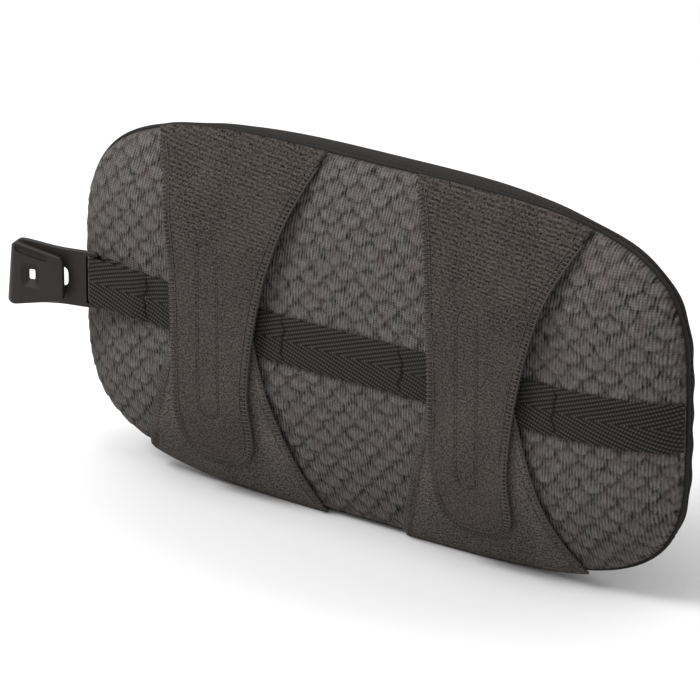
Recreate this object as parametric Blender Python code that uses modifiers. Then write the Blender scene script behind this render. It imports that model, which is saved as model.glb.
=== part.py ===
"""Lumbar support cushion: a crowned foam pad in a knitted rear panel and a smooth front cover.

Two hook tongues hang from the top seam and close on two loop flaps from the bottom seam.
A 25 mm webbing strap crosses the rear under them and carries a moulded hook buckle.
Frame: X along the pad, -Y out of the rear (the side that faces the chair), Z up.
The origin is the middle of the strap's outer face.
"""
import math

import bmesh
import bpy
import numpy as np
from mathutils import Matrix, Vector

MM = 0.001

# ---- driving sizes, in metres ----
PAD_WIDTH = 358 * MM
PAD_HEIGHT = 187 * MM
PAD_SQUARENESS = 4.0            # exponent of the rounded-rectangle outline
REAR_CROWN = 22.5 * MM          # rise of the rear face over the seam
REAR_ROLL = 90 * MM             # distance from the seam over which the rear face rises
END_FULLNESS = 3.0              # the rise's two exponents at the pad's ends
END_STEEPNESS = 0.62
SIDE_FULLNESS = 2.2             # and along its top and bottom
SIDE_STEEPNESS = 0.75
FRONT_DEPTH_MIDDLE = 22 * MM    # depth of the front cover behind the seam, at mid length
FRONT_DEPTH_END = 8 * MM        # the same at the two ends
FRONT_SPREAD = 100 * MM         # half length of the deep middle
FRONT_SQUARENESS = 8.0
PANEL_THICKNESS = 2.5 * MM      # spacer knit
PANEL_ROLL = 0.4                # share of that by which its rim rolls in
COVER_THICKNESS = 1.6 * MM
PIPING_RADIUS = 1.3 * MM
THREAD_RADIUS = 0.3 * MM
TOPSTITCH_SETBACK = 3 * MM      # from the piping's centre
GAP = 0.3 * MM                  # between pieces that touch

STRAP_WIDTH = 25 * MM
STRAP_THICKNESS = 1.2 * MM
STRAP_LIFT = 4.5 * MM           # rise of the strap's free end over the pad's middle
STRAP_LIFT_START = -80 * MM     # where along the pad that rise begins
STRAP_RETURN = 38 * MM          # length of the ply folded back round the crossbar
STRAP_RAMP = 14 * MM            # length over which the outer ply steps over that ply's end
TACK_START = 16 * MM            # crossbar centre to the stitching that holds the folded ply
TACK_LENGTH = 17 * MM
TACK_ROWS = 4
TACK_MARGIN = 2.5 * MM          # from the strap's edges
TAIL_SHARE = 0.7                # of the step that the folded ply's end reaches under

TONGUE_LEFT = {"left": -106 * MM, "right": 49.5 * MM}
TONGUE_WIDTH = 44 * MM
TONGUE_END = 74 * MM            # tongue tip below the pad's middle
UPPER_SPREAD = (24 * MM, 33 * MM)   # how much wider the root is than the tongue, left and right
UPPER_CURVES = (4.2, 1.75)      # exponents of the two concave edges
UPPER_SPREAD_END = 40 * MM      # where those edges run straight, below the pad's middle
UPPER_THICKNESS = 1.8 * MM
LOWER_TONGUE_WIDTH = 38 * MM
LOWER_TONGUE_END = 22 * MM      # loop flap's hidden end above the pad's middle
LOWER_SPREAD = (33 * MM, 36 * MM)
LOWER_CURVES = (1.5, 1.4)
LOWER_THICKNESS = 1.6 * MM
TIP_CURVE = 2.6                 # exponent of the rounded tip
FLAP_RAMP = 42 * MM             # length over which a flap lifts off the seam to its layer
ROOT_LIFT = 0.7 * MM            # height of a flap's root over the panel's rolled rim
EDGING_RADIUS = 0.9 * MM

HOOK_TAPE_WIDTH = 16 * MM
HOOK_TAPE_THICKNESS = 1.0 * MM
HOOK_TAPE_TOP = 44 * MM         # above the pad's middle
HOOK_TAPE_BOTTOM = 52 * MM      # below the pad's middle
TAPE_THREAD_INSET = 2 * MM

BAR_RADIUS = 1.8 * MM
BAR_INSET = 19.5 * MM           # crossbar centre inside the pad's left end
BUCKLE_THICKNESS = 2.6 * MM
BUCKLE_LENGTH = 47 * MM         # crossbar centre to the bend's outer face
BUCKLE_ANGLE = math.radians(13)
SLOT_REACH = 4.9 * MM           # crossbar centre to the slot's far edge
ARM_WIDTH = 2.2 * MM
ARM_OVERLAP = 2 * MM            # how far the slot's arms run into the plate
HOOK_GAP = 3 * MM               # between the plate and the tab
PLATE_FLARE = 2.0 * MM          # how much further the plate reaches at the bend, above and below
TAB_END_HALF = 11.3 * MM        # half height of the tab's free end
TAB_END_REACH = 14.5 * MM       # crossbar centre to the tab's free end
CORNER_RADIUS = 6 * MM
TAB_CORNER = 3 * MM
FUNNEL_MOUTH = 13 * MM
FUNNEL_THROAT = 4.4 * MM
FUNNEL_REACH = 33.2 * MM        # crossbar centre to the funnel's centre
WINDOW_HEIGHT = 12 * MM         # moulding window in the plate under the tab
WINDOW_START = 14.2 * MM
WINDOW_END = 39 * MM

# ---- values that follow ----
HALF_WIDTH = PAD_WIDTH / 2
HALF_HEIGHT = PAD_HEIGHT / 2
PANEL_Y = STRAP_THICKNESS + GAP                 # top of the rear face
SEAM_Y = PANEL_Y + REAR_CROWN                   # plane of the perimeter seam
RIM_Y = PIPING_RADIUS + GAP                     # how far the front cover stops from the seam plane
PANEL_RIM_Y = RIM_Y + PANEL_ROLL * PANEL_THICKNESS  # the same for the thicker rear panel's outer face
BAR_X = -HALF_WIDTH + BAR_INSET
LOOP_RADIUS = BAR_RADIUS + GAP + STRAP_THICKNESS / 2
BAR_Y = STRAP_THICKNESS / 2 - STRAP_THICKNESS - GAP + LOOP_RADIUS
LAYER_LOWER = GAP + STRAP_THICKNESS + GAP       # height of each layer's inner face over the panel
LAYER_TAPE = LAYER_LOWER + LOWER_THICKNESS + GAP
LAYER_UPPER = LAYER_TAPE + HOOK_TAPE_THICKNESS + GAP
ARM_INNER = STRAP_WIDTH / 2 + GAP               # half height of the slot
PLATE_WAIST = ARM_INNER + ARM_WIDTH             # half height of the plate beside the slot
PLATE_END = PLATE_WAIST + PLATE_FLARE           # and at the bend

# ---- how finely the shapes are divided ----
RINGS = 8
RING_CLOSENESS = 0.008          # share of the pad between the rim and the first ring
FRONT_CLOSENESS = 0.8           # exponent that spreads the front's rings over its roll
RIM_STEPS = 56
STRAP_SPANS = 46                # the strap over the crown, then its step, lead, loop and folded ply
STRAP_CLOSENESS = 1.5           # exponent that packs the first of them towards the right seam
STEP_SPANS = 8
LEAD_SPANS = 4
LOOP_SPANS = 12
FLAP_COLUMNS = 8
ROOT_SPANS = 11
ROOT_SHARE = 0.4                # of the flap's length, with rows closer together towards the root
ROOT_CLOSENESS = 1.6
MIDDLE_SPANS = 8
MIDDLE_SHARE = 0.45
TIP_SPANS = 6
EDGING_START = 2                # row of the flap where its edging begins, clear of the seam
TAPE_SPANS = 16
TAPE_COLUMNS = (1, 0.34, -0.34, -1)             # shares of the tape's half width
TAPE_END_SPANS = 6
TAPE_SIDE_SPANS = 8
PLATE_SPANS = 10
BEND_SPANS = 8
TAB_SHARES = (1, 0.85, 0.7, 0.55, 0.4, 0.25, 0.12, 0.06, 0.02, 0)   # bend to free end
HALF_ROWS = 4
COLOURS = {
    "foam": (0.62, 0.6, 0.55, 0.9),
    "knit": (0.105, 0.095, 0.092, 0.95),
    "cover": (0.05, 0.044, 0.042, 0.8),
    "loop_cloth": (0.058, 0.05, 0.045, 0.95),
    "hook_tape": (0.03, 0.03, 0.03, 0.7),
    "thread": (0.045, 0.04, 0.038, 0.7),
    "webbing": (0.022, 0.021, 0.02, 0.6),
    "moulding": (0.045, 0.037, 0.033, 0.45),
}


def clear_scene():
    """Remove what the file opened with."""
    for obj in list(bpy.data.objects):
        bpy.data.objects.remove(obj, do_unlink=True)
    for mesh in list(bpy.data.meshes):
        bpy.data.meshes.remove(mesh)


def new_collection(name):
    """Make a collection in the scene."""
    group = bpy.data.collections.new(name)
    bpy.context.scene.collection.children.link(group)
    return group


def new_material(name, finish):
    """A Principled material from the finish's colour and roughness."""
    red, green, blue, roughness = COLOURS[finish]
    material = bpy.data.materials.new(name)
    material.use_nodes = True
    shader = material.node_tree.nodes["Principled BSDF"]
    shader.inputs["Base Color"].default_value = (red, green, blue, 1)
    shader.inputs["Roughness"].default_value = roughness
    shader.inputs["Metallic"].default_value = 0
    return material


def finish_part(obj, finish, origin=(0, 0, 0)):
    """Give the part its material and put its own origin at a point, with the shape left in place."""
    obj.data.materials.clear()
    obj.data.materials.append(new_material(obj.name + "_finish", finish))
    obj.data.transform(Matrix.Translation(-Vector(origin)))
    obj.location = Vector(origin)
    if obj.type == "MESH":
        obj.data.shade_smooth()
    for group in list(obj.users_collection):
        group.objects.unlink(obj)
    PARTS.objects.link(obj)
    return obj


def mesh_object(name, rows, wrap=False, centre=None):
    """Join rows of points with quads; wrap closes each row, centre closes the last row on a point."""
    count = len(rows[0])
    shape = bmesh.new()
    made = [[shape.verts.new(point) for point in row] for row in rows]
    spans = count if wrap else count - 1
    for upper, lower in zip(made[:-1], made[1:]):
        for i in range(spans):
            j = (i + 1) % count
            shape.faces.new((upper[i], upper[j], lower[j], lower[i]))
    if centre is not None:
        hub = shape.verts.new(centre)
        for i in range(spans):
            shape.faces.new((made[-1][i], made[-1][(i + 1) % count], hub))
    mesh = bpy.data.meshes.new(name)
    shape.to_mesh(mesh)
    shape.free()
    obj = bpy.data.objects.new(name, mesh)
    bpy.context.scene.collection.objects.link(obj)
    return obj


def thicken(obj, thickness, offset):
    """Solidify an open surface; offset 1 grows along the normals, -1 against them, 0 both ways."""
    wall = obj.modifiers.new("wall", "SOLIDIFY")
    wall.thickness = thickness
    wall.offset = offset
    wall.use_even_offset = True


def tube(name, points, radius, cyclic=False, sides=1):
    """A round thread, piping or edging along the points."""
    curve = bpy.data.curves.new(name, "CURVE")
    curve.dimensions = "3D"
    curve.bevel_depth = radius
    curve.bevel_resolution = sides
    curve.use_fill_caps = not cyclic
    spline = curve.splines.new("POLY")
    spline.points.add(len(points) - 1)
    for slot, point in zip(spline.points, points):
        slot.co = (*point, 1)
    spline.use_cyclic_u = cyclic
    obj = bpy.data.objects.new(name, curve)
    bpy.context.scene.collection.objects.link(obj)
    return obj


def smooth(share):
    """Ease from 0 to 1."""
    share = min(max(share, 0), 1)
    return share * share * (3 - 2 * share)


def outline_direction(angle):
    """Unit rounded-rectangle outline at a polar angle: the direction over its own size."""
    across = math.cos(angle)
    up = math.sin(angle)
    power = PAD_SQUARENESS
    size = (abs(across) ** power + abs(up) ** power) ** (1 / power)
    return across / size, up / size


def outline_height(x):
    """Half height of the seam outline at x."""
    share = min(abs(x) / HALF_WIDTH, 1)
    return HALF_HEIGHT * (1 - share ** PAD_SQUARENESS) ** (1 / PAD_SQUARENESS)


def seam_distance(x, z):
    """Distance in from the seam outline at a point of the pad, in the pad's plane."""
    power = PAD_SQUARENESS
    ring = (abs(x / HALF_WIDTH) ** power + abs(z / HALF_HEIGHT) ** power) ** (1 / power)
    if ring < 1e-6:
        return REAR_ROLL
    slope_x = abs(x) ** (power - 1) / HALF_WIDTH ** power
    slope_z = abs(z) ** (power - 1) / HALF_HEIGHT ** power
    slope = math.hypot(slope_x, slope_z) / ring ** (power - 1)
    return (1 - ring) / slope


def rear_y(x, z):
    """Y of the rear face at x, z of the pad's plane."""
    reach = min(max(seam_distance(x, z), 0), REAR_ROLL)
    upright = 0.0
    if z:
        level = abs(z / HALF_HEIGHT) ** PAD_SQUARENESS
        upright = level / (level + abs(x / HALF_WIDTH) ** PAD_SQUARENESS)
    fullness = END_FULLNESS + (SIDE_FULLNESS - END_FULLNESS) * upright
    steepness = END_STEEPNESS + (SIDE_STEEPNESS - END_STEEPNESS) * upright
    rise = (1 - (1 - reach / REAR_ROLL) ** fullness) ** steepness
    return SEAM_Y - PANEL_RIM_Y - (REAR_CROWN - PANEL_RIM_Y) * rise


def rear_point(x, z, height):
    """The point standing a height over the rear face at x, z of the pad's plane."""
    step = 0.2 * MM
    sides = []
    for dx, dz in ((step, 0), (0, step)):
        sides.append(Vector((2 * dx, rear_y(x + dx, z + dz) - rear_y(x - dx, z - dz), 2 * dz)))
    normal = sides[0].cross(sides[1]).normalized()
    return Vector((x, rear_y(x, z), z)) + normal * height


def front_depth(x):
    """Depth of the front cover behind the seam: deep in the middle, shallow at the ends."""
    middle = math.exp(-((x / FRONT_SPREAD) ** 4))
    return FRONT_DEPTH_END + (FRONT_DEPTH_MIDDLE - FRONT_DEPTH_END) * middle


def rear_rings():
    """Rings of the rear face from the rim inwards, closer together near the rim, and its middle."""
    rows = []
    for k in range(RINGS):
        share = 1 - RING_CLOSENESS * k - (1 - RING_CLOSENESS * RINGS) * (k / RINGS) ** 2
        row = []
        for i in range(RIM_STEPS):
            across, up = outline_direction(2 * math.pi * i / RIM_STEPS)
            x = across * HALF_WIDTH * share
            z = up * HALF_HEIGHT * share
            row.append(Vector((x, rear_y(x, z), z)))
        rows.append(row)
    return rows, Vector((0, rear_y(0, 0), 0))


def front_rings():
    """Rings of the front face from the rim inwards: an upright gusset that rolls into the face."""
    rows = []
    for k in range(RINGS):
        turn = math.pi / 2 * (k / RINGS) ** FRONT_CLOSENESS
        depth_share = math.sin(turn) ** (2 / FRONT_SQUARENESS) if k else 0
        share = math.cos(turn) ** (2 / FRONT_SQUARENESS)
        row = []
        for i in range(RIM_STEPS):
            across, up = outline_direction(-2 * math.pi * i / RIM_STEPS)
            x = across * HALF_WIDTH * share
            z = up * HALF_HEIGHT * share
            depth = (front_depth(x) - RIM_Y) * depth_share
            row.append(Vector((x, SEAM_Y + RIM_Y + depth, z)))
        rows.append(row)
    return rows, Vector((0, SEAM_Y + FRONT_DEPTH_MIDDLE, 0))


def sunk_rings(rows, hub, depth):
    """The same rings moved in along the surface normals by a depth."""
    grid = np.array(rows)
    along = np.roll(grid, -1, axis=1) - np.roll(grid, 1, axis=1)
    inner = np.concatenate([grid[1:], np.broadcast_to(np.array(hub), grid[:1].shape)])
    outer = np.concatenate([grid[:1], grid[:-1]])
    normal = np.cross(along, inner - outer)
    normal /= np.linalg.norm(normal, axis=2, keepdims=True)
    sunk = grid - normal * depth
    middle = Vector(hub) - Vector(normal[-1].mean(axis=0)).normalized() * depth
    return [[Vector(point) for point in row] for row in sunk], middle


def close_on(obj, point):
    """Close the open rim of a mesh on one point and turn all faces outwards."""
    shape = bmesh.new()
    shape.from_mesh(obj.data)
    hub = shape.verts.new(point)
    rim = [edge for edge in shape.edges if edge.is_boundary]
    for edge in rim:
        shape.faces.new((*edge.verts, hub))
    bmesh.ops.recalc_face_normals(shape, faces=shape.faces)
    shape.to_mesh(obj.data)
    shape.free()


def build_pad():
    """Foam core, rear panel, front cover, piping and its top stitching."""
    rear_rows, rear_hub = rear_rings()
    panel = mesh_object("rear_panel", rear_rows, wrap=True, centre=rear_hub)
    thicken(panel, PANEL_THICKNESS, -1)
    finish_part(panel, "knit")

    front_rows, front_hub = front_rings()
    cover = mesh_object("front_cover", front_rows, wrap=True, centre=front_hub)
    thicken(cover, COVER_THICKNESS, -1)
    finish_part(cover, "cover")

    rear_rows, rear_hub = sunk_rings(rear_rows, rear_hub, PANEL_THICKNESS + 2 * GAP)
    front_rows, front_hub = sunk_rings(front_rows, front_hub, COVER_THICKNESS + 3 * GAP)
    mirrored = [[row[-i] for i in range(RIM_STEPS)] for row in front_rows]
    foam = mesh_object("foam_core", rear_rows[::-1] + mirrored, wrap=True, centre=front_hub)
    close_on(foam, rear_hub)
    finish_part(foam, "foam")

    rim = []
    stitch = []
    for i in range(RIM_STEPS):
        across, up = outline_direction(2 * math.pi * i / RIM_STEPS)
        rim.append(Vector((across * HALF_WIDTH, SEAM_Y, up * HALF_HEIGHT)))
        lift = THREAD_RADIUS + GAP
        point = Vector((across * (HALF_WIDTH + lift), 0, up * (HALF_HEIGHT + lift)))
        point.y = SEAM_Y + TOPSTITCH_SETBACK
        stitch.append(point)
    finish_part(tube("seam_piping", rim, PIPING_RADIUS, cyclic=True, sides=2), "cover")
    finish_part(tube("seam_topstitch", stitch, THREAD_RADIUS, cyclic=True, sides=0), "thread")


def strap_path():
    """Middle line of the webbing from the right seam, round the crossbar and back under itself."""
    points = []
    lift = GAP + STRAP_THICKNESS / 2
    fold_end = BAR_X + STRAP_RETURN
    start = HALF_WIDTH - GAP
    for i in range(STRAP_SPANS + 1):
        x = start - (start - fold_end) * (i / STRAP_SPANS) ** STRAP_CLOSENESS
        point = rear_point(x, 0, lift)
        points.append(Vector((point.x, point.y)))
    bar_top = BAR_Y - LOOP_RADIUS
    step_over = STRAP_THICKNESS + GAP
    level = points[-1].y
    lead_y = min(level - step_over, bar_top)
    for i in range(1, STEP_SPANS + 1):
        share = i / STEP_SPANS
        points.append(Vector((fold_end - STRAP_RAMP * share, level + (lead_y - level) * smooth(share))))
    last = points[-1]
    for i in range(1, LEAD_SPANS + 1):
        points.append(last.lerp(Vector((BAR_X, bar_top)), i / LEAD_SPANS))
    centre = Vector((BAR_X, BAR_Y))
    for i in range(1, LOOP_SPANS):
        turn = math.pi * i / LOOP_SPANS
        points.append(centre + LOOP_RADIUS * Vector((-math.sin(turn), -math.cos(turn))))
    under = Vector((BAR_X, BAR_Y + LOOP_RADIUS))
    tail = Vector((fold_end - STRAP_RAMP * TAIL_SHARE, last.y + step_over + GAP))
    for i in range(STEP_SPANS + 1):
        share = i / STEP_SPANS
        x = under.x + (tail.x - under.x) * share
        points.append(Vector((x, under.y + (tail.y - under.y) * smooth(share))))
    return points


def strap_rise(x):
    """Height of the strap's centre line at x: level, then rising towards its free end."""
    return STRAP_LIFT * smooth((STRAP_LIFT_START - x) / (STRAP_LIFT_START - BAR_X))


def build_strap():
    """The webbing and the zigzag tack that closes its loop."""
    rows = []
    for point in strap_path():
        level = strap_rise(point.x)
        row = []
        for k in (-1, 1):
            row.append(Vector((point.x, point.y, level + k * STRAP_WIDTH / 2)))
        rows.append(row)
    strap = mesh_object("webbing_strap", rows)
    thicken(strap, STRAP_THICKNESS, 0)
    finish_part(strap, "webbing")

    low = BAR_X + TACK_START
    face = BAR_Y - LOOP_RADIUS - STRAP_THICKNESS / 2 - GAP - THREAD_RADIUS
    points = []
    rows_of_tack = 2 * TACK_ROWS
    for i in range(rows_of_tack + 1):
        side = 1 if i % 2 else -1
        x = low + TACK_LENGTH * i / rows_of_tack
        points.append(Vector((x, face, strap_rise(x) + side * (STRAP_WIDTH / 2 - TACK_MARGIN))))
    finish_part(tube("webbing_tack_thread", points, THREAD_RADIUS, sides=0), "thread")


def flap_shape(side, upper):
    """Sizes of one flap, with heights counted towards its own root."""
    left = TONGUE_LEFT[side]
    if upper:
        return dict(sign=1, tip=TONGUE_END, left=left, width=TONGUE_WIDTH, spread=UPPER_SPREAD,
                    curves=UPPER_CURVES, spread_end=UPPER_SPREAD_END, layer=LAYER_UPPER,
                    thickness=UPPER_THICKNESS)
    left += (TONGUE_WIDTH - LOWER_TONGUE_WIDTH) / 2
    return dict(sign=-1, tip=LOWER_TONGUE_END, left=left, width=LOWER_TONGUE_WIDTH,
                spread=LOWER_SPREAD, curves=LOWER_CURVES, spread_end=LOWER_TONGUE_END,
                layer=LAYER_LOWER, thickness=LOWER_THICKNESS)


def flap_edges(flap, z):
    """Left and right edge of the flap at a height z counted towards its own root."""
    share = min(max((z + flap["spread_end"]) / (HALF_HEIGHT + flap["spread_end"]), 0), 1)
    left = flap["left"] - flap["spread"][0] * share ** flap["curves"][0]
    right = flap["left"] + flap["width"] + flap["spread"][1] * share ** flap["curves"][1]
    radius = flap["width"] / 2
    past = 1 - (z + flap["tip"]) / radius
    if past > 0:
        middle = (left + right) / 2
        half = (right - left) / 2 * (1 - min(past, 0.995) ** TIP_CURVE) ** (1 / TIP_CURVE)
        left = middle - half
        right = middle + half
    return left, right


def flap_layer(flap, x, z):
    """Height of the flap's inner face over the panel: low at the seam, then up to the flap's layer."""
    rise = smooth((outline_height(x) - GAP - z) / FLAP_RAMP)
    return ROOT_LIFT + (flap["layer"] - ROOT_LIFT) * rise


def flap_point(flap, across, along, height):
    """Point of the flap: across 0..1 from left to right, along 0..1 from root to tip."""
    z = HALF_HEIGHT + (-flap["tip"] - HALF_HEIGHT) * along
    left, right = flap_edges(flap, z)
    x = left + (right - left) * across
    root_z = outline_height(x) - GAP
    z = root_z + (-flap["tip"] - root_z) * along
    return rear_point(x, z * flap["sign"], flap_layer(flap, x, z) + height)


def hinge_line(flap):
    """A point on the flap's hinge and its direction: along the seam, just clear of the root."""
    ends = [flap_point(flap, across, 0, flap["thickness"] / 2) for across in (0, 1)]
    direction = (ends[1] - ends[0]).normalized()
    lift = 0
    for i in range(1, FLAP_COLUMNS):
        point = flap_point(flap, i / FLAP_COLUMNS, 0, flap["thickness"] / 2)
        chord = ends[0] + direction * (point - ends[0]).dot(direction)
        lift = max(lift, (point - chord).z * flap["sign"])
    middle = (ends[0] + ends[1]) / 2
    middle.z += (lift + flap["thickness"] / 2) * flap["sign"]
    return middle, direction


def build_flap(side, upper):
    """One flap with its overlocked edge; an upper flap also carries the hook tape and its stitching."""
    flap = flap_shape(side, upper)
    level = "upper" if upper else "lower"
    middle, _ = hinge_line(flap)
    shares = [ROOT_SHARE * (i / ROOT_SPANS) ** ROOT_CLOSENESS for i in range(ROOT_SPANS + 1)]
    shares += [ROOT_SHARE + MIDDLE_SHARE * i / MIDDLE_SPANS for i in range(1, MIDDLE_SPANS + 1)]
    tip_share = 1 - ROOT_SHARE - MIDDLE_SHARE
    shares += [1 - tip_share * (1 - i / TIP_SPANS) ** 2 for i in range(1, TIP_SPANS + 1)]
    rows = []
    for along in shares:
        rows.append([flap_point(flap, i / FLAP_COLUMNS, along, 0) for i in range(FLAP_COLUMNS + 1)])
    if upper:
        rows = [row[::-1] for row in rows]
    body = mesh_object(f"{level}_flap_{side}", rows)
    thicken(body, flap["thickness"], 1)
    finish_part(body, "loop_cloth", middle)

    half = flap["thickness"] / 2
    border = [flap_point(flap, 0, along, half) for along in shares[EDGING_START:]]
    border += [flap_point(flap, 1, along, half) for along in shares[:EDGING_START - 1:-1]]
    edge = []
    for i in range(1, len(border) - 1):
        ahead = (border[i + 1] - border[i]).normalized()
        behind = (border[i] - border[i - 1]).normalized()
        outward = (ahead + behind).cross(Vector((0, -1, 0))).normalized() * flap["sign"]
        miter = max(math.sqrt((1 + ahead.dot(behind)) / 2), 0.5)
        edge.append(border[i] + outward * (EDGING_RADIUS + GAP) / miter)
    edging = tube(f"{level}_flap_edging_{side}", edge, EDGING_RADIUS, sides=1)
    finish_part(edging, "thread", middle)
    if not upper:
        return

    centre = flap["left"] + flap["width"] / 2
    under = GAP + HOOK_TAPE_THICKNESS
    rows = []
    for k in range(TAPE_SPANS + 1):
        z = HOOK_TAPE_TOP - (HOOK_TAPE_TOP + HOOK_TAPE_BOTTOM) * k / TAPE_SPANS
        row = []
        for offset in TAPE_COLUMNS:
            x = centre + offset * HOOK_TAPE_WIDTH / 2
            row.append(rear_point(x, z, flap_layer(flap, x, z) - under))
        rows.append(row)
    tape = mesh_object(f"hook_tape_{side}", rows)
    thicken(tape, HOOK_TAPE_THICKNESS, 1)
    finish_part(tape, "hook_tape", middle)

    radius = HOOK_TAPE_WIDTH / 2 - TAPE_THREAD_INSET
    over = UPPER_THICKNESS + GAP + THREAD_RADIUS
    top = HOOK_TAPE_TOP - TAPE_THREAD_INSET - radius
    bottom = -HOOK_TAPE_BOTTOM + TAPE_THREAD_INSET + radius
    loop = []
    for start, base in ((0, top), (math.pi, bottom)):
        for i in range(TAPE_END_SPANS + 1):
            turn = start + math.pi * i / TAPE_END_SPANS
            loop.append((centre + radius * math.cos(turn), base + radius * math.sin(turn)))
        following = top if start else bottom
        for k in range(1, TAPE_SIDE_SPANS):
            loop.append((loop[-k][0], base + (following - base) * k / TAPE_SIDE_SPANS))
    points = [rear_point(x, z, flap_layer(flap, x, z) + over) for x, z in loop]
    thread = tube(f"hook_tape_thread_{side}", points, THREAD_RADIUS, cyclic=True, sides=0)
    finish_part(thread, "thread", middle)


def cutter_box(name, low, high):
    """A box cutter between two corners in the buckle's frame."""
    low = Vector(low)
    high = Vector(high)
    bpy.ops.mesh.primitive_cube_add(size=1)
    box = bpy.context.object
    box.name = name
    box.data.transform(Matrix.Diagonal((*(high - low), 1)))
    box.data.transform(Matrix.Translation((low + high) / 2))
    return store_cutter(box)


def store_cutter(obj):
    """Keep a cutter apart from the parts and hide it."""
    for group in list(obj.users_collection):
        group.objects.unlink(obj)
    CUTTERS.objects.link(obj)
    obj.hide_render = True
    obj.display_type = "WIRE"
    return obj


def combine(target, other, operation):
    """Add a Boolean of one object on another, with the other placed as the target is."""
    other.location = target.location
    other.rotation_euler = target.rotation_euler
    step = target.modifiers.new(other.name, "BOOLEAN")
    step.operation = operation
    step.object = other


def build_buckle():
    """The moulded hook: crossbar and slot, flared plate, U bend and a tab with a funnel hole."""
    half = BUCKLE_THICKNESS / 2
    bend = (HOOK_GAP + BUCKLE_THICKNESS) / 2
    bend_x = -(BUCKLE_LENGTH - bend - half)
    rows = []

    def height_at(x, tab):
        """Half height of the plate or the tab at x."""
        reach = -x
        if tab:
            share = (reach - TAB_END_REACH) / (-bend_x - TAB_END_REACH)
            size = TAB_END_HALF + (PLATE_END - TAB_END_HALF) * min(share, 1)
            end = reach - TAB_END_REACH
            if end < TAB_CORNER:
                size -= TAB_CORNER - math.sqrt(TAB_CORNER ** 2 - (TAB_CORNER - end) ** 2)
        else:
            share = smooth((reach - TAB_END_REACH) / (-bend_x - TAB_END_REACH))
            size = PLATE_WAIST + PLATE_FLARE * share
        corner = reach - (BUCKLE_LENGTH - CORNER_RADIUS)
        if corner > 0:
            size -= CORNER_RADIUS - math.sqrt(max(CORNER_RADIUS ** 2 - corner ** 2, 0))
        return size

    path = []
    for i in range(PLATE_SPANS + 1):
        x = -SLOT_REACH + (bend_x + SLOT_REACH) * i / PLATE_SPANS
        path.append((x, 0, False))
    for i in range(1, BEND_SPANS):
        turn = math.pi * i / BEND_SPANS
        path.append((bend_x - bend * math.sin(turn), -bend + bend * math.cos(turn), turn > math.pi / 2))
    for share in TAB_SHARES:
        x = -TAB_END_REACH + (bend_x + TAB_END_REACH) * share
        path.append((x, -2 * bend, True))
    for x, y, tab in path:
        size = height_at(x, tab)
        rows.append([Vector((x, y, size * k / HALF_ROWS)) for k in range(-HALF_ROWS, HALF_ROWS + 1)])
    buckle = mesh_object("hook_buckle", rows)
    thicken(buckle, BUCKLE_THICKNESS, 0)
    buckle.location = (BAR_X, BAR_Y, STRAP_LIFT)
    buckle.rotation_euler = (0, 0, BUCKLE_ANGLE)

    for side in (-1, 1):
        levels = sorted((side * ARM_INNER, side * (ARM_INNER + ARM_WIDTH)))
        low = (-SLOT_REACH - ARM_OVERLAP, -half, levels[0])
        high = (BAR_RADIUS + GAP, half, levels[1])
        combine(buckle, cutter_box(f"arm_{side}", low, high), "UNION")
    reach = ARM_INNER + ARM_WIDTH / 2
    bpy.ops.mesh.primitive_cylinder_add(vertices=20, radius=BAR_RADIUS, depth=2 * reach)
    bar = bpy.context.object
    bar.name = "crossbar"
    combine(buckle, store_cutter(bar), "UNION")

    through = BUCKLE_THICKNESS + 4 * GAP
    bpy.ops.mesh.primitive_cylinder_add(vertices=24, radius=WINDOW_HEIGHT / 2, depth=through)
    window = bpy.context.object
    window.name = "window"
    window.data.transform(Matrix.Rotation(math.pi / 2, 4, "X"))
    stretch = WINDOW_END - WINDOW_START - WINDOW_HEIGHT
    for vertex in window.data.vertices:
        if vertex.co.x < -GAP:
            vertex.co.x -= stretch
        vertex.co.x -= WINDOW_START + WINDOW_HEIGHT / 2
    combine(buckle, store_cutter(window), "DIFFERENCE")

    depth = BUCKLE_THICKNESS + GAP
    mouth = FUNNEL_MOUTH / math.sqrt(2)
    throat = FUNNEL_THROAT / math.sqrt(2)
    bpy.ops.mesh.primitive_cone_add(vertices=4, radius1=mouth, radius2=throat, depth=depth)
    funnel = bpy.context.object
    funnel.name = "funnel"
    funnel.data.transform(Matrix.Rotation(math.pi / 4, 4, "Z"))
    funnel.data.transform(Matrix.Rotation(-math.pi / 2, 4, "X"))
    funnel.data.transform(Matrix.Translation((-FUNNEL_REACH, -2 * bend, 0)))
    combine(buckle, store_cutter(funnel), "DIFFERENCE")
    buckle.data.materials.append(new_material("hook_buckle_finish", "moulding"))
    for group in list(buckle.users_collection):
        group.objects.unlink(buckle)
    PARTS.objects.link(buckle)


clear_scene()
PARTS = new_collection("lumbar_support_cushion")
CUTTERS = new_collection("cutters")
build_pad()
build_strap()
for flap_side in TONGUE_LEFT:
    build_flap(flap_side, True)
    build_flap(flap_side, False)
build_buckle()
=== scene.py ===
"""Lumbar support cushion, seen from its rear: a crowned foam pad in spacer knit and a smooth cover.

Two hook tongues hang from the top seam over two loop flaps, and a webbing strap with a moulded
hook buckle crosses the rear under them. X runs along the pad, -Y out of its rear face, Z up.
"""

import bmesh
import bpy
import numpy as np
from mathutils import Matrix, Vector


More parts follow.
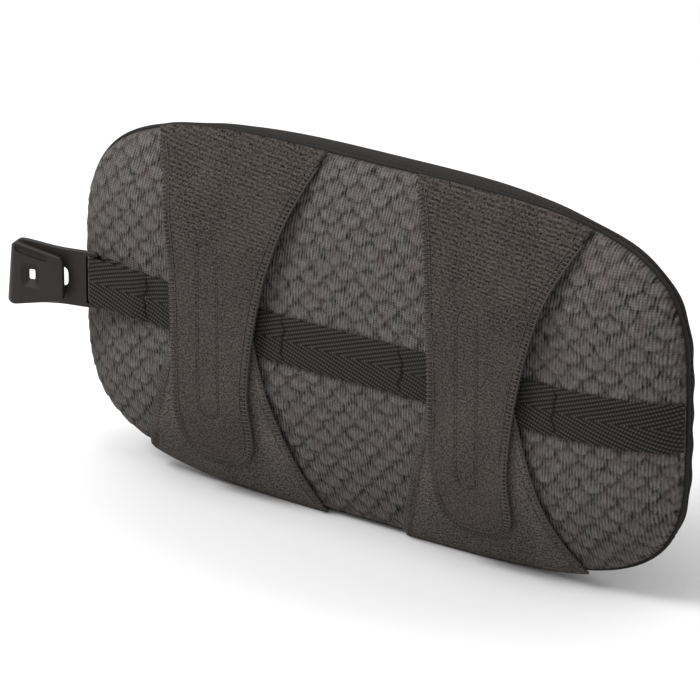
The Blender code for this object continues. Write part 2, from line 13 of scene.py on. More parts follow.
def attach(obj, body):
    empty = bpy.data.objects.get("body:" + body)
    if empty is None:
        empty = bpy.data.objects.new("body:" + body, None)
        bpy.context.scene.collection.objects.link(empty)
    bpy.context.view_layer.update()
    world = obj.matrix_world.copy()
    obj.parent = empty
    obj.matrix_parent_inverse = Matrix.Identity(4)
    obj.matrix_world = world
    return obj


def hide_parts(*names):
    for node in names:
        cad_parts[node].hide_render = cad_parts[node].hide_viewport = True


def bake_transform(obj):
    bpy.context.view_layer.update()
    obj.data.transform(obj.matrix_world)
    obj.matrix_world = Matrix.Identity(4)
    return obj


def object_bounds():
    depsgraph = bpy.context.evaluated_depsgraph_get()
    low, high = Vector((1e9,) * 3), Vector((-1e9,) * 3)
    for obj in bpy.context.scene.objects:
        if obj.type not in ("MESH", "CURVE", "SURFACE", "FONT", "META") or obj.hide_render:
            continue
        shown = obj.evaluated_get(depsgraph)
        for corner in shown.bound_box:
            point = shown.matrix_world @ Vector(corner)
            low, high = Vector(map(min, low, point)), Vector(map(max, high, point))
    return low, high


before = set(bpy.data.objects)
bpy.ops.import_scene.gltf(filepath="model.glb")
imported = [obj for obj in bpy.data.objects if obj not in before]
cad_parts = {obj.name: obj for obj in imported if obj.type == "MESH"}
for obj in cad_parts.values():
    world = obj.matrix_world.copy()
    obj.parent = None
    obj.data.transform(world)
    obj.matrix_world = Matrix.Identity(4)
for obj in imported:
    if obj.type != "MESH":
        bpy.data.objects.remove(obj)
cad_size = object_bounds()

MM = 0.001

# ---- Studio -------------------------------------------------------------------------------------
# A white painted floor with a painted shadow under the pad, below a soft key from the upper left, a
# weaker fill from the right, a top light and an even white surround. The long lens is 3 metres away.
VIEW_AZIMUTH = np.radians(36.0)
VIEW_ELEVATION = np.radians(21.45)
VIEW_DISTANCE = 3.028
VIEW_TARGET = Vector((0, 24 * MM, 0))
VIEW_RIGHT = 14.9 * MM                  # how far the lens axis passes to the left of the target
VIEW_UP = 2.96 * MM                     # and below it
LENS = 319.0                            # focal length in millimetres, on a sensor this wide
SENSOR = 36.0

camera = bpy.data.objects.new("camera", bpy.data.cameras.new("camera"))
bpy.context.scene.collection.objects.link(camera)
towards = Vector((
    np.sin(VIEW_AZIMUTH) * np.cos(VIEW_ELEVATION),
    -np.cos(VIEW_AZIMUTH) * np.cos(VIEW_ELEVATION),
    np.sin(VIEW_ELEVATION),
))
right = Vector((np.cos(VIEW_AZIMUTH), np.sin(VIEW_AZIMUTH), 0))
aim = VIEW_TARGET - right * VIEW_RIGHT - towards.cross(right) * VIEW_UP
camera.location = aim + towards * VIEW_DISTANCE
camera.rotation_euler = (-towards).to_track_quat("-Z", "Y").to_euler()
camera.data.lens = LENS
camera.data.sensor_width = SENSOR
camera.data.clip_end = 20.0
bpy.context.scene.camera = camera


def add_softbox(name, azimuth, elevation, distance, size, power):
    """A square area lamp at an azimuth and elevation round the pad, in degrees, facing its middle."""
    lamp = bpy.data.objects.new(name, bpy.data.lights.new(name, "AREA"))
    lamp.data.size = size
    lamp.data.energy = power
    turn, rise = np.radians(azimuth), np.radians(elevation)
    lamp.location = distance * Vector((
        np.sin(turn) * np.cos(rise), -np.cos(turn) * np.cos(rise), np.sin(rise)))
    lamp.rotation_euler = (-lamp.location).to_track_quat("-Z", "Y").to_euler()
    bpy.context.scene.collection.objects.link(lamp)


add_softbox("key", azimuth=-45, elevation=50, distance=1.6, size=0.6, power=26.0)
add_softbox("fill", azimuth=75, elevation=30, distance=2.0, size=1.2, power=5.0)
add_softbox("top", azimuth=10, elevation=80, distance=1.6, size=0.9, power=8.0)

SURROUND_STRENGTH = 0.80
surround = bpy.data.worlds.new("surround")
surround.use_nodes = True
surround.node_tree.nodes["Background"].inputs["Color"].default_value = (1, 1, 1, 1)
surround.node_tree.nodes["Background"].inputs["Strength"].default_value = SURROUND_STRENGTH
bpy.context.scene.world = surround
bpy.context.scene.view_settings.view_transform = "Standard"

FLOOR_HALF = 6.0
FLOOR_GAP = 0.2 * MM
FLOOR_NEAR = (0.55, 0.55, 0.55)         # the painted shadow under the pad
FLOOR_FAR = (0.76, 0.76, 0.76)
FLOOR_SHADOW_SPAN = (0.05, 0.175)              # metres from the middle where the painted shadow begins to fade and where it is gone
FLOOR_STRETCH = (0.55, 1.0, 0.0)        # the painted shadow reaches farther along x
floor_mesh = bpy.data.meshes.new("floor")
floor_z = cad_size[0][2] - FLOOR_GAP
floor_mesh.from_pydata(
    [(x, y, floor_z) for x, y in ((-1, -1), (1, -1), (1, 1), (-1, 1))], [], [(0, 1, 2, 3)])
floor_mesh.transform(Matrix.Diagonal((FLOOR_HALF, FLOOR_HALF, 1, 1)))
floor = bpy.data.objects.new("floor", floor_mesh)
bpy.context.scene.collection.objects.link(floor)


def new_finish(name, colour, roughness, **sockets):
    """A material with a Principled shader; sockets are set on it by name, with _ for spaces."""
    finish = bpy.data.materials.new(name)
    finish.use_nodes = True
    shader = finish.node_tree.nodes["Principled BSDF"]
    shader.inputs["Base Color"].default_value = (*colour, 1)
    shader.inputs["Roughness"].default_value = roughness
    for socket, value in sockets.items():
        shader.inputs[socket.replace("_", " ")].default_value = value
    return finish, finish.node_tree, shader


def add_node(tree, kind, inputs=(), **settings):
    """A shader node with its settings; each input takes a value or the socket that feeds it."""
    made = tree.nodes.new("ShaderNode" + kind)
    for key, value in settings.items():
        setattr(made, key, value)
    for key, value in dict(inputs).items():
        if isinstance(value, bpy.types.NodeSocket):
            tree.links.new(value, made.inputs[key])
        else:
            made.inputs[key].default_value = value
    return made


def add_maths(tree, operation, first, second=0.0, third=0.0):
    """One sum on two or three values or sockets."""
    values = {0: first, 1: second}
    if operation == "MULTIPLY_ADD":
        values[2] = third
    return add_node(tree, "Math", values, operation=operation).outputs[0]


def speckle_group():
    """The grain that the finishes share: noise at a place, stretched, and steepened about a half."""
    group = bpy.data.node_groups.new("speckle", "ShaderNodeTree")
    given_kinds = {"Place": "Vector", "Grains": "Vector", "Detail": "Float", "Contrast": "Float"}
    for socket, kind in given_kinds.items():
        group.interface.new_socket(socket, in_out="INPUT", socket_type="NodeSocket" + kind)
    group.interface.new_socket("Value", in_out="OUTPUT", socket_type="NodeSocketFloat")
    given = group.nodes.new("NodeGroupInput").outputs
    scaled = add_node(group, "VectorMath", {0: given["Place"], 1: given["Grains"]}, operation="MULTIPLY")
    noise = add_node(group, "TexNoise", {
        "Vector": scaled.outputs[0], "Scale": 1.0, "Detail": given["Detail"], "Roughness": 0.6,
    }).outputs["Fac"]
    off_half = add_maths(group, "MULTIPLY", add_maths(group, "SUBTRACT", noise, 0.5), given["Contrast"])
    steep = add_node(group, "Clamp", {"Value": add_maths(group, "ADD", off_half, 0.5)}).outputs[0]
    group.links.new(steep, group.nodes.new("NodeGroupOutput").inputs["Value"])
    return group


def add_speckle(tree, place, grains, detail=3.0, contrast=1.0):
    """The shared grain at a place; grains is how many there are in a metre each way."""
    made = tree.nodes.new("ShaderNodeGroup")
    made.node_tree = bpy.data.node_groups.get("speckle") or speckle_group()
    tree.links.new(place, made.inputs["Place"])
    made.inputs["Grains"].default_value = grains
    made.inputs["Detail"].default_value = detail
    made.inputs["Contrast"].default_value = contrast
    return made.outputs["Value"]


def add_blend(tree, share, low, high):
    """A colour from low to high by a share."""
    made = add_node(tree, "Mix", data_type="RGBA")
    tree.links.new(share, made.inputs["Factor"])
    made.inputs["A"].default_value = (*low, 1)
    made.inputs["B"].default_value = (*high, 1)
    return made.outputs["Result"]


def add_relief(tree, shader, height, depth):
    """Turn a height from 0 to 1 into the shader's normal, for a relief so many metres deep."""
    bump = add_node(tree, "Bump", {"Height": height, "Distance": depth, "Strength": 1.0})
    tree.links.new(bump.outputs[0], shader.inputs["Normal"])


def grained_finish(name, colour, roughness, low, high, depth, grains, detail, contrast=1.0, **sockets):
    """A finish whose colour, from low to high, and relief both follow the grain round the piece."""
    finish, tree, shader = new_finish(name, colour, roughness, **sockets)
    place = add_node(tree, "TexCoord").outputs["Object"]
    grain = add_speckle(tree, place, (grains, grains, grains), detail, contrast)
    tree.links.new(add_blend(tree, grain, low, high), shader.inputs["Base Color"])
    add_relief(tree, shader, grain, depth)
    return finish


floor_paint, tree, shader = new_finish("floor_paint", FLOOR_FAR, 0.9, Specular_IOR_Level=0.1)
place = add_node(tree, "TexCoord").outputs["Object"]
squeezed = add_node(tree, "VectorMath", {0: place, 1: FLOOR_STRETCH}, operation="MULTIPLY").outputs[0]
distance = add_node(tree, "VectorMath", {0: squeezed}, operation="LENGTH").outputs["Value"]
# The floor's colour is darker near the pad, a painted shadow that fades out with the distance.
shadow_fade = add_node(tree, "MapRange", {
    "Value": distance, "From Min": FLOOR_SHADOW_SPAN[0], "From Max": FLOOR_SHADOW_SPAN[1],
}, interpolation_type="SMOOTHSTEP").outputs[0]
tree.links.new(add_blend(tree, shadow_fade, FLOOR_NEAR, FLOOR_FAR), shader.inputs["Base Color"])
floor_mesh.materials.append(floor_paint)

# ---- Foam core ----------------------------------------------------------------------------------
# One moulded block of open-cell foam, hidden inside the cloth. Its rear is crowned and rolls off
# to the seam; its front is flat with a rounded edge. It gives both skins their shape.
HALF_WIDTH = 179 * MM
HALF_HEIGHT = 93.5 * MM
SQUARENESS = 4.0                        # exponent of the rounded-rectangle outline
SEAM_Y = 24 * MM
REAR_RIM = 2.6 * MM                     # how far the rear skin's rim stands off the seam plane
REAR_CROWN = 22.5 * MM
REAR_ROLL = 90 * MM
END_ROUNDING = (3.0, 0.62)              # the crown's two exponents at the pad's ends
SIDE_ROUNDING = (2.2, 0.75)             # and along its top and bottom
FRONT_RIM = 1.6 * MM
FRONT_DEEP = 22 * MM                    # depth of the front past the seam at mid length
FRONT_SHALLOW = 8 * MM                  # and at the ends
FRONT_SPREAD = 100 * MM
FRONT_SQUARENESS = 8.0
FRONT_RINGS = 0.8                       # exponent that spaces the front mesh's rings
SKIN_INSET = 3.1 * MM                   # how far inside the skins' outer faces the foam ends
FOAM_GRID = (96, 56)


def seam_distance(x, z):
    """Distance in from the seam: one less the point's own ring size, over that size's slope."""
    ring = ((np.abs(x) / HALF_WIDTH) ** 4 + (np.abs(z) / HALF_HEIGHT) ** 4) ** 0.25
    ring = np.maximum(ring, 1e-6)       # so that the middle can be divided by it
    slope = np.hypot(np.abs(x) ** 3 / HALF_WIDTH ** 4, np.abs(z) ** 3 / HALF_HEIGHT ** 4) / ring ** 3
    return np.where(slope > 1e-6, (1 - ring) / np.maximum(slope, 1e-6), REAR_ROLL)


def seam_height(x):
    """Z of the upper seam: the half height times the fourth root of 1 - |x / half width| ^ 4."""
    return HALF_HEIGHT * (1 - np.minimum(np.abs(x) / HALF_WIDTH, 1) ** 4) ** 0.25


def rear_y(x, z):
    """Y of the rear face: the crown times (1 - (1 - distance / roll) ^ fullness) ^ steepness."""
    reach = np.clip(seam_distance(x, z), 0, REAR_ROLL)
    level = (np.abs(z) / HALF_HEIGHT) ** 4
    upright = level / np.maximum(level + (np.abs(x) / HALF_WIDTH) ** 4, 1e-12)
    fullness = END_ROUNDING[0] + (SIDE_ROUNDING[0] - END_ROUNDING[0]) * upright
    steepness = END_ROUNDING[1] + (SIDE_ROUNDING[1] - END_ROUNDING[1]) * upright
    rise = (1 - (1 - reach / REAR_ROLL) ** fullness) ** steepness
    return SEAM_Y - REAR_RIM - (REAR_CROWN - REAR_RIM) * rise


def over_rear(x, z, height):
    """Points a height over the rear face: the face plus its unit normal times the height."""
    step = 0.2 * MM
    slope_x = (rear_y(x + step, z) - rear_y(x - step, z)) / (2 * step)
    slope_z = (rear_y(x, z + step) - rear_y(x, z - step)) / (2 * step)
    normal = np.stack([slope_x, -np.ones_like(slope_x), slope_z], axis=-1)
    normal /= np.linalg.norm(normal, axis=-1, keepdims=True)
    return np.stack([x, rear_y(x, z), z], axis=-1) + normal * np.asarray(height)[..., None]


def pad_square(columns, rows):
    """A square grid laid on the pad: its direction on the seam outline, and how near the seam it is."""
    across, up = np.meshgrid(np.linspace(-1, 1, columns), np.linspace(-1, 1, rows))
    ring = np.maximum(np.abs(across), np.abs(up))
    size = (np.abs(across) ** SQUARENESS + np.abs(up) ** SQUARENESS) ** (1 / SQUARENESS)
    size = np.maximum(size, 1e-9)
    return across / size, up / size, ring


def front_grid(columns, rows, inset):
    """Front face: rings shrink with the cosine and deepen with the sine of a quarter turn.

    Both are to the power 2 / squareness, and the depth falls towards the ends along a bell.
    """
    across, up, ring = pad_square(columns, rows)
    turn = np.pi / 2 * (1 - ring) ** FRONT_RINGS
    power = 2 / FRONT_SQUARENESS
    share = np.cos(np.minimum(turn, np.pi / 2 - 1e-9)) ** power
    x = across * (HALF_WIDTH - inset) * share
    z = up * (HALF_HEIGHT - inset) * share
    middle = np.exp(-((x / FRONT_SPREAD) ** 4))
    depth = FRONT_SHALLOW + (FRONT_DEEP - FRONT_SHALLOW) * middle - FRONT_RIM - inset
    return np.stack([x, SEAM_Y + FRONT_RIM + depth * np.sin(turn) ** power, z], axis=-1)


def new_piece(name, points, faces, flat=None):
    """A smooth mesh from its points and the corners of each of its faces.

    Flat holds each point's place on the cut cloth, and becomes the piece's UV map.
    """
    mesh = bpy.data.meshes.new(name)
    mesh.from_pydata(points.reshape(-1, 3), [], faces)
    mesh.polygons.foreach_set("use_smooth", np.ones(len(mesh.polygons), bool))
    if flat is not None:
        corners = np.zeros(len(mesh.loops), np.int32)
        mesh.loops.foreach_get("vertex_index", corners)
        layer = mesh.uv_layers.new(name="cloth")
        layer.data.foreach_set("uv", flat.reshape(-1, 2)[corners].reshape(-1))
    piece = bpy.data.objects.new(name, mesh)
    bpy.context.scene.collection.objects.link(piece)
    return piece


def grid_quads(index):
    """The corners of the quads between neighbours in a grid of point numbers."""
    quads = np.stack([index[:-1, :-1], index[:-1, 1:], index[1:, 1:], index[1:, :-1]], axis=-1)
    return quads.reshape(-1, 4)


def grid_piece(name, points, flat=None, wrap=False, flip=False):
    """A mesh of quads over rows and columns of points; wrap joins each row's end to its start."""
    rows, columns = points.shape[:2]
    index = np.arange(rows * columns).reshape(rows, columns)
    if wrap:
        index = np.concatenate([index, index[:, :1]], axis=1)
    quads = grid_quads(index)
    if flip:
        quads = quads[:, ::-1]
    return new_piece(name, points, quads.tolist(), flat)


def joined_skins(name, rear, front):
    """One closed piece from a rear and a front grid whose outlines meet: both grids and a rim strip."""
    rows, columns = rear.shape[:2]
    count = rows * columns
    index = np.arange(count).reshape(rows, columns)
    quads = grid_quads(index)
    rim = np.concatenate([index[0, :-1], index[:-1, -1], index[-1, :0:-1], index[:0:-1, 0]])
    after = np.roll(rim, -1)
    strip = np.stack([after, rim, rim + count, after + count], axis=-1)
    points = np.concatenate([rear.reshape(-1, 3), front.reshape(-1, 3)])
    return new_piece(name, points, np.concatenate([quads, quads[:, ::-1] + count, strip]).tolist())


across, up, ring = pad_square(*FOAM_GRID)
share = ring * (1 - SKIN_INSET / HALF_HEIGHT)
foam_rear = over_rear(across * HALF_WIDTH * share, up * HALF_HEIGHT * share, -SKIN_INSET)
foam_front = front_grid(*FOAM_GRID, SKIN_INSET)
foam = joined_skins("foam_core_block", foam_rear, foam_front)
foam_finish, tree, shader = new_finish("open_cell_foam", (0.60, 0.57, 0.50), 0.95)
place = add_node(tree, "TexCoord").outputs["Object"]
cells = add_node(tree, "TexVoronoi", {"Vector": place, "Scale": 900.0}).outputs["Distance"]
tree.links.new(add_blend(tree, cells, (0.45, 0.42, 0.36), (0.68, 0.65, 0.58)), shader.inputs["Base Color"])
add_relief(tree, shader, cells, 0.4 * MM)
foam.data.materials.append(foam_finish)
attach(foam, "pad")
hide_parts("foam_core")

# ---- Front cover --------------------------------------------------------------------------------
# Smooth stretch knit bonded to the foam's front, turned up round its edge and sewn to the rear
# panel at the seam. It pulls a little between the stitches, and draws in beside them.
COVER_WALL = 1.4 * MM
COVER_GRID = (240, 144)
PUCKER_PITCH = 17 * MM
PUCKER_DEPTH = 0.35 * MM
PUCKER_REACH = 12 * MM                  # how far in front of the seam they end
PUCKER_DENSITY = 0.9
PUCKER_STRETCH = 1.9                    # the pad's length over its height, to space them evenly
PUCKER_DRIFT = 2.1                      # radians by which they stray, three times round the pad


def add_wall(piece, thickness, offset=-1):
    """Give a surface the thickness of its cloth, inwards from its face unless offset is 1."""
    wall = piece.modifiers.new("wall", "SOLIDIFY")
    wall.thickness = thickness
    wall.offset = offset


cover_points = front_grid(*COVER_GRID, 0)
rim_distance = np.clip((cover_points[..., 1] - SEAM_Y) / PUCKER_REACH, 0, 1)
angle = np.arctan2(cover_points[..., 2] * PUCKER_STRETCH, cover_points[..., 0])
turn = angle * 2 * np.pi * PUCKER_DENSITY / (PUCKER_PITCH / HALF_HEIGHT)
pucker = np.sin(turn + PUCKER_DRIFT * np.sin(3 * angle)) * np.sin(np.pi * rim_distance)
outward = np.stack([cover_points[..., 0], 0 * angle, cover_points[..., 2]], axis=-1)
outward /= np.linalg.norm(outward, axis=-1, keepdims=True)
cover_points += outward * (pucker * PUCKER_DEPTH)[..., None]
cover = grid_piece("front_cover_cloth", cover_points, cover_points[..., ::2], flip=True)
add_wall(cover, COVER_WALL)

cover_finish, tree, shader = new_finish("cover_stretch_knit", (0.016, 0.0145, 0.0135), 0.8,
                                        Sheen_Weight=0.02, Sheen_Roughness=0.5, Specular_IOR_Level=0.06)
place = add_node(tree, "TexCoord").outputs["Object"]
grain = add_speckle(tree, place, (1500, 1500, 1500), 2.0, 2.0)
cloud = add_speckle(tree, place, (60, 60, 60), 4.0)
tone = add_maths(tree, "MULTIPLY_ADD", cloud, 0.5, add_maths(tree, "MULTIPLY", grain, 0.5))
yarn = add_blend(tree, tone, (0.009, 0.008, 0.0075), (0.026, 0.0235, 0.022))
tree.links.new(yarn, shader.inputs["Base Color"])
add_relief(tree, shader, grain, 0.12 * MM)
cover.data.materials.append(cover_finish)
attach(cover, "pad")
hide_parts("front_cover")

# ---- Rear panel ---------------------------------------------------------------------------------
# Heathered spacer knit with a fish-scale relief, cut to the pad's outline and stretched over the
# crown. Its wales run up the pad and the scales open downwards in rows that step half a scale.
PANEL_WALL = 2.0 * MM
PANEL_GRID = (300, 170)
PANEL_RINGS = 1.15                      # exponent that spaces the mesh's rings
SCALE_WIDTH = 13.2 * MM
SCALE_ROW = 6.35 * MM
SCALE_RADIUS = 6.9 * MM
SCALE_HEIGHT = 0.80 * MM
SCALE_LEVEL = 0.45                      # share of that height that sinks below the panel's face
SCALE_ROOT = 0.30                       # height at a scale's root, as a share of its edge's
SCALE_LIP = 1.1 * MM                    # width of a scale's rounded edge
RAGGED_LOOPS = 0.30 * MM                # how far the loops fray that edge
RAGGED_DRIFT = 0.5 * MM                 # and how far it strays as a whole
FOLD_OUT = 0.2 * MM                     # how far outside the edge the painted fold shade is darkest
FOLD_REACH = 0.9 * MM
RELIEF_FADE = 2 * MM                    # over which the relief fades out at the seam
RIM_TUCK = 1.9 * MM                     # how far the rim turns in to the cord at the seam
WALE_PITCH = 1.66 * MM
COURSE_PITCH = 1.25 * MM


def ease(share):
    """Rises from 0 to 1 along a cubic that is level at both ends."""
    share = np.clip(share, 0, 1)
    return share * share * (3 - 2 * share)


def scale_relief(x, z):
    """Overlapping round scales: each rises to its lower edge, where it drops onto the row below.

    The second result is the painted shade in the fold, a bell of the distance outside the nearest edge.
    """
    height = np.zeros_like(x)
    fold = np.zeros_like(x)
    row_here = np.floor(z / SCALE_ROW)
    ragged = RAGGED_LOOPS * np.cos(2 * np.pi * x / WALE_PITCH)
    ragged += RAGGED_DRIFT * np.sin(x * 410 + z * 270) * np.sin(z * 530 - x * 190)
    for above in (-1, 0, 1, 2):
        row = row_here + above
        shift = (np.mod(row, 2) * 0.5) * SCALE_WIDTH
        side = np.mod(x - shift + SCALE_WIDTH / 2, SCALE_WIDTH) - SCALE_WIDTH / 2
        drop = row * SCALE_ROW - z
        outside = np.hypot(side, drop) - SCALE_RADIUS + ragged
        inside = ease(-outside / SCALE_LIP)
        face = np.clip(SCALE_ROOT + (1 - SCALE_ROOT) * drop / SCALE_RADIUS, 0, 1)
        height = height * (1 - inside) + face * inside
        shade = np.exp(-((outside - FOLD_OUT) / FOLD_REACH) ** 2) * (drop > 0)
        fold = np.maximum(fold * (1 - inside), shade)
    return height, fold


across, up, ring = pad_square(*PANEL_GRID)
ring = 1 - (1 - ring) ** PANEL_RINGS
x = across * HALF_WIDTH * ring
z = up * HALF_HEIGHT * ring
relief, fold = scale_relief(x, z)
relief = relief * np.clip(seam_distance(x, z) / RELIEF_FADE, 0, 1)
panel_points = over_rear(x, z, SCALE_HEIGHT * (relief - SCALE_LEVEL))
panel_points[ring == 1] += RIM_TUCK * np.array([0, 1, 0])
panel = grid_piece("rear_panel_cloth", panel_points, np.stack([x, z], axis=-1))
# The relief's height and the fold's painted shade, kept on the points for the finish.
for name, values in (("scale", relief), ("fold", fold)):
    layer = panel.data.attributes.new(name, "FLOAT", "POINT")
    layer.data.foreach_set("value", values.reshape(-1).astype(np.float32))
add_wall(panel, PANEL_WALL)


def add_wales(tree, place, pitch, course):
    """Knit wales: a cosine across them that the grain shifts, broken into loops by a slanted sine."""
    split = add_node(tree, "SeparateXYZ", {"Vector": place}).outputs
    wander = add_maths(tree, "MULTIPLY", add_speckle(tree, place, (220, 150, 1), 2.0), 5.0)
    turn = add_maths(tree, "MULTIPLY_ADD", split[0], 2 * np.pi / pitch, wander)
    wale = add_maths(tree, "MULTIPLY_ADD", add_maths(tree, "COSINE", turn), 0.5, 0.5)
    slant = add_maths(tree, "MULTIPLY", wale, 2.4)
    loop = add_maths(tree, "MULTIPLY_ADD", split[1], 2 * np.pi / course, slant)
    loop = add_maths(tree, "MULTIPLY_ADD", add_maths(tree, "SINE", loop), 0.5, 0.5)
    return add_maths(tree, "MULTIPLY_ADD", wale, 0.72, add_maths(tree, "MULTIPLY", loop, 0.28))


panel_finish, tree, shader = new_finish("spacer_knit", (0.055, 0.051, 0.048), 0.9,
                                        Sheen_Weight=0.02, Sheen_Roughness=0.6, Specular_IOR_Level=0.03)
place = add_node(tree, "UVMap", uv_map="cloth").outputs[0]
wales = add_wales(tree, place, WALE_PITCH, COURSE_PITCH)
streak = add_speckle(tree, place, (900, 260, 1), 3.0, 3.0)
melange = add_speckle(tree, place, (110, 60, 1), 2.0, 1.3)
scale_painted_highlight = add_node(tree, "Attribute", attribute_name="scale").outputs["Fac"]
fold_painted_shade = add_node(tree, "Attribute", attribute_name="fold").outputs["Fac"]
tone = add_maths(tree, "MULTIPLY_ADD", wales, 0.34, add_maths(tree, "MULTIPLY", streak, 0.44))
# Painted highlight: each scale's colour lightens towards its raised lower edge, where it faces the light.
tone = add_maths(tree, "MULTIPLY_ADD", scale_painted_highlight, 0.24, add_maths(tree, "SUBTRACT", tone, 0.09))
# Painted shade: darker in the fold below each scale's edge.
tone = add_maths(tree, "MULTIPLY_ADD", fold_painted_shade, -0.15, tone)
tone = add_node(tree, "Clamp", {"Value": tone}).outputs[0]
yarn = add_blend(tree, tone, (0.0050, 0.0048, 0.0045), (0.162, 0.153, 0.145))
warm = add_node(tree, "Mix", {"B": (0.088, 0.064, 0.061, 1)}, data_type="RGBA")
tint = add_maths(tree, "MULTIPLY", add_maths(tree, "SUBTRACT", melange, 0.4), 0.9)
tree.links.new(add_node(tree, "Clamp", {"Value": tint}).outputs[0], warm.inputs["Factor"])
tree.links.new(yarn, warm.inputs["A"])
tree.links.new(warm.outputs["Result"], shader.inputs["Base Color"])
add_relief(tree, shader, add_maths(tree, "MULTIPLY_ADD", streak, 0.5, wales), 0.5 * MM)
panel.data.materials.append(panel_finish)
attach(panel, "pad")
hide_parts("rear_panel")

# ---- Seam ---------------------------------------------------------------------------------------
# The two skins are sewn together round the edge with a thin cord of the cover's cloth between
# them, and a row of lockstitches holds the turned-up cover just beside the cord.
CORD_RADIUS = 1.15 * MM
CORD_RINGS = 640
CORD_SIDES = 10
SEAM_WOBBLE = 0.22 * MM                 # how far the sewing strays to the front and rear
SEAM_STITCH = 3.4 * MM                  # from one stitch to the next
STITCH_SHARE = 0.40                     # half of a stitch's length, as a share of that
STITCH_BOW = 0.35 * MM
SEAM_SETBACK = 2.4 * MM
THREAD = 0.28 * MM


def even_loop(points, count):
    """The same closed line as so many points at equal steps along it."""
    closed = np.concatenate([points, points[:1]])
    length = np.concatenate([[0], np.cumsum(np.linalg.norm(np.diff(closed, axis=0), axis=1))])
    at = np.linspace(0, length[-1], count, endpoint=False)
    return np.stack([np.interp(at, length, closed[:, k]) for k in range(3)], axis=-1)


def cord_grid(line, radius, sides):
    """Rings of a closed cord: its line plus the radius times the ring's direction across it."""
    ahead = np.roll(line, -1, axis=0) - np.roll(line, 1, axis=0)
    ahead /= np.linalg.norm(ahead, axis=1, keepdims=True)
    side = np.cross(ahead, (0, 1, 0))
    side /= np.linalg.norm(side, axis=1, keepdims=True)
    over = np.cross(ahead, side)
    turn = np.linspace(0, 2 * np.pi, sides, endpoint=False)
    wave = side[:, None] * np.cos(turn)[:, None] + over[:, None] * np.sin(turn)[:, None]
    return line[:, None] + wave * radius


def thread_piece(name, lines, radius, sides=6):
    """Many short threads: each line of points is one, a quarter as thick at its capped ends.

    Its radius falls as the sixth power of the distance from its middle.
    """
    count, steps = lines.shape[:2]
    ahead = np.gradient(lines, axis=1)
    ahead /= np.maximum(np.linalg.norm(ahead, axis=2, keepdims=True), 1e-12)
    side = np.cross(ahead, (0.11, 1, 0.23))
    side /= np.maximum(np.linalg.norm(side, axis=2, keepdims=True), 1e-12)
    over = np.cross(ahead, side)
    turn = np.linspace(0, 2 * np.pi, sides, endpoint=False)
    taper = radius * (1 - np.abs(np.linspace(-1, 1, steps)) ** 6 * 0.75)
    wave = side[:, :, None] * np.cos(turn)[:, None] + over[:, :, None] * np.sin(turn)[:, None]
    points = lines[:, :, None] + wave * taper[:, None, None]
    index = np.arange(count * steps * sides).reshape(count, steps, sides)
    after = np.roll(index, -1, axis=2)
    quads = np.stack([index[:, :-1], after[:, :-1], after[:, 1:], index[:, 1:]], axis=-1).reshape(-1, 4)
    caps = np.concatenate([index[:, 0, ::-1], index[:, -1]])
    return new_piece(name, points, quads.tolist() + caps.tolist())


turn = np.linspace(0, 2 * np.pi, 720, endpoint=False)
size = (np.abs(np.cos(turn)) ** 4 + np.abs(np.sin(turn)) ** 4) ** 0.25
outline = np.stack([
    HALF_WIDTH * np.cos(turn) / size, 0 * turn + SEAM_Y, HALF_HEIGHT * np.sin(turn) / size
], axis=-1)
seam_line = even_loop(outline, CORD_RINGS)
turn = np.linspace(0, 2 * np.pi, CORD_RINGS, endpoint=False)
seam_line[:, 1] += SEAM_WOBBLE * np.sin(31 * turn) * np.sin(5 * turn)
rings = cord_grid(seam_line, CORD_RADIUS, CORD_SIDES)
piping = grid_piece("seam_piping_cord", np.concatenate([rings, rings[:1]]), wrap=True)
piping.data.materials.append(cover_finish)
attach(piping, "pad")
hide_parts("seam_piping")

seam_length = np.linalg.norm(np.diff(seam_line, axis=0), axis=1).sum()
stitch_count = int(seam_length / SEAM_STITCH)
at = even_loop(seam_line, stitch_count)
ahead = np.roll(at, -1, axis=0) - at
ahead /= np.linalg.norm(ahead, axis=1, keepdims=True)
out = np.cross(ahead, (0, 1, 0))
out *= np.sign((out * at * (1, 0, 1)).sum(axis=1))[:, None]
bow = np.linspace(-1, 1, 5)
centre = at + np.array([0, SEAM_SETBACK, 0]) + out * STITCH_BOW
forward = ahead[:, None] * (bow * SEAM_STITCH * STITCH_SHARE)[:, None]
inward = out[:, None] * (bow ** 2 * STITCH_BOW)[:, None]
seam_stitches = thread_piece("seam_stitches", centre[:, None] + forward - inward, THREAD)
thread_finish = grained_finish(
    "dark_thread", (0.010, 0.009, 0.0085), 0.7, low=(0.005, 0.0045, 0.0045), high=(0.017, 0.015, 0.014),
    depth=0.1 * MM, grains=2500, detail=1.0, Specular_IOR_Level=0.08)
seam_stitches.data.materials.append(thread_finish)
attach(seam_stitches, "pad")
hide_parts("seam_topstitch")

# ---- Webbing strap ------------------------------------------------------------------------------
# 25 mm herringbone webbing, sewn into the right seam, laid over the crown, turned round the
# buckle's crossbar and tacked back on itself. Its free end rises a little towards the bar.
STRAP_WIDTH = 25 * MM
STRAP_WALL = 1.2 * MM
STRAP_EDGE = 0.3 * MM                   # rounding of its edges
SELVEDGE = 1.2 * MM                     # plain edge beside the ridges
GAP = 0.3 * MM
BAR_X = -HALF_WIDTH + 19.5 * MM
BAR_RADIUS = 1.8 * MM
LOOP_RADIUS = BAR_RADIUS + GAP + STRAP_WALL / 2
BAR_Y = LOOP_RADIUS - STRAP_WALL / 2 - GAP
STRAP_LIFT = 4.5 * MM                   # how far the free end has risen at the bar
STRAP_LIFT_START = -80 * MM             # where along the pad it begins to rise
STRAP_RETURN = 38 * MM                  # length of the folded ply
STRAP_RAMP = 14 * MM                    # over which the outer ply steps over its end
STRAP_STEP = 0.45 * MM
TWILL_PITCH = 6.4 * MM                  # ridges along the strap
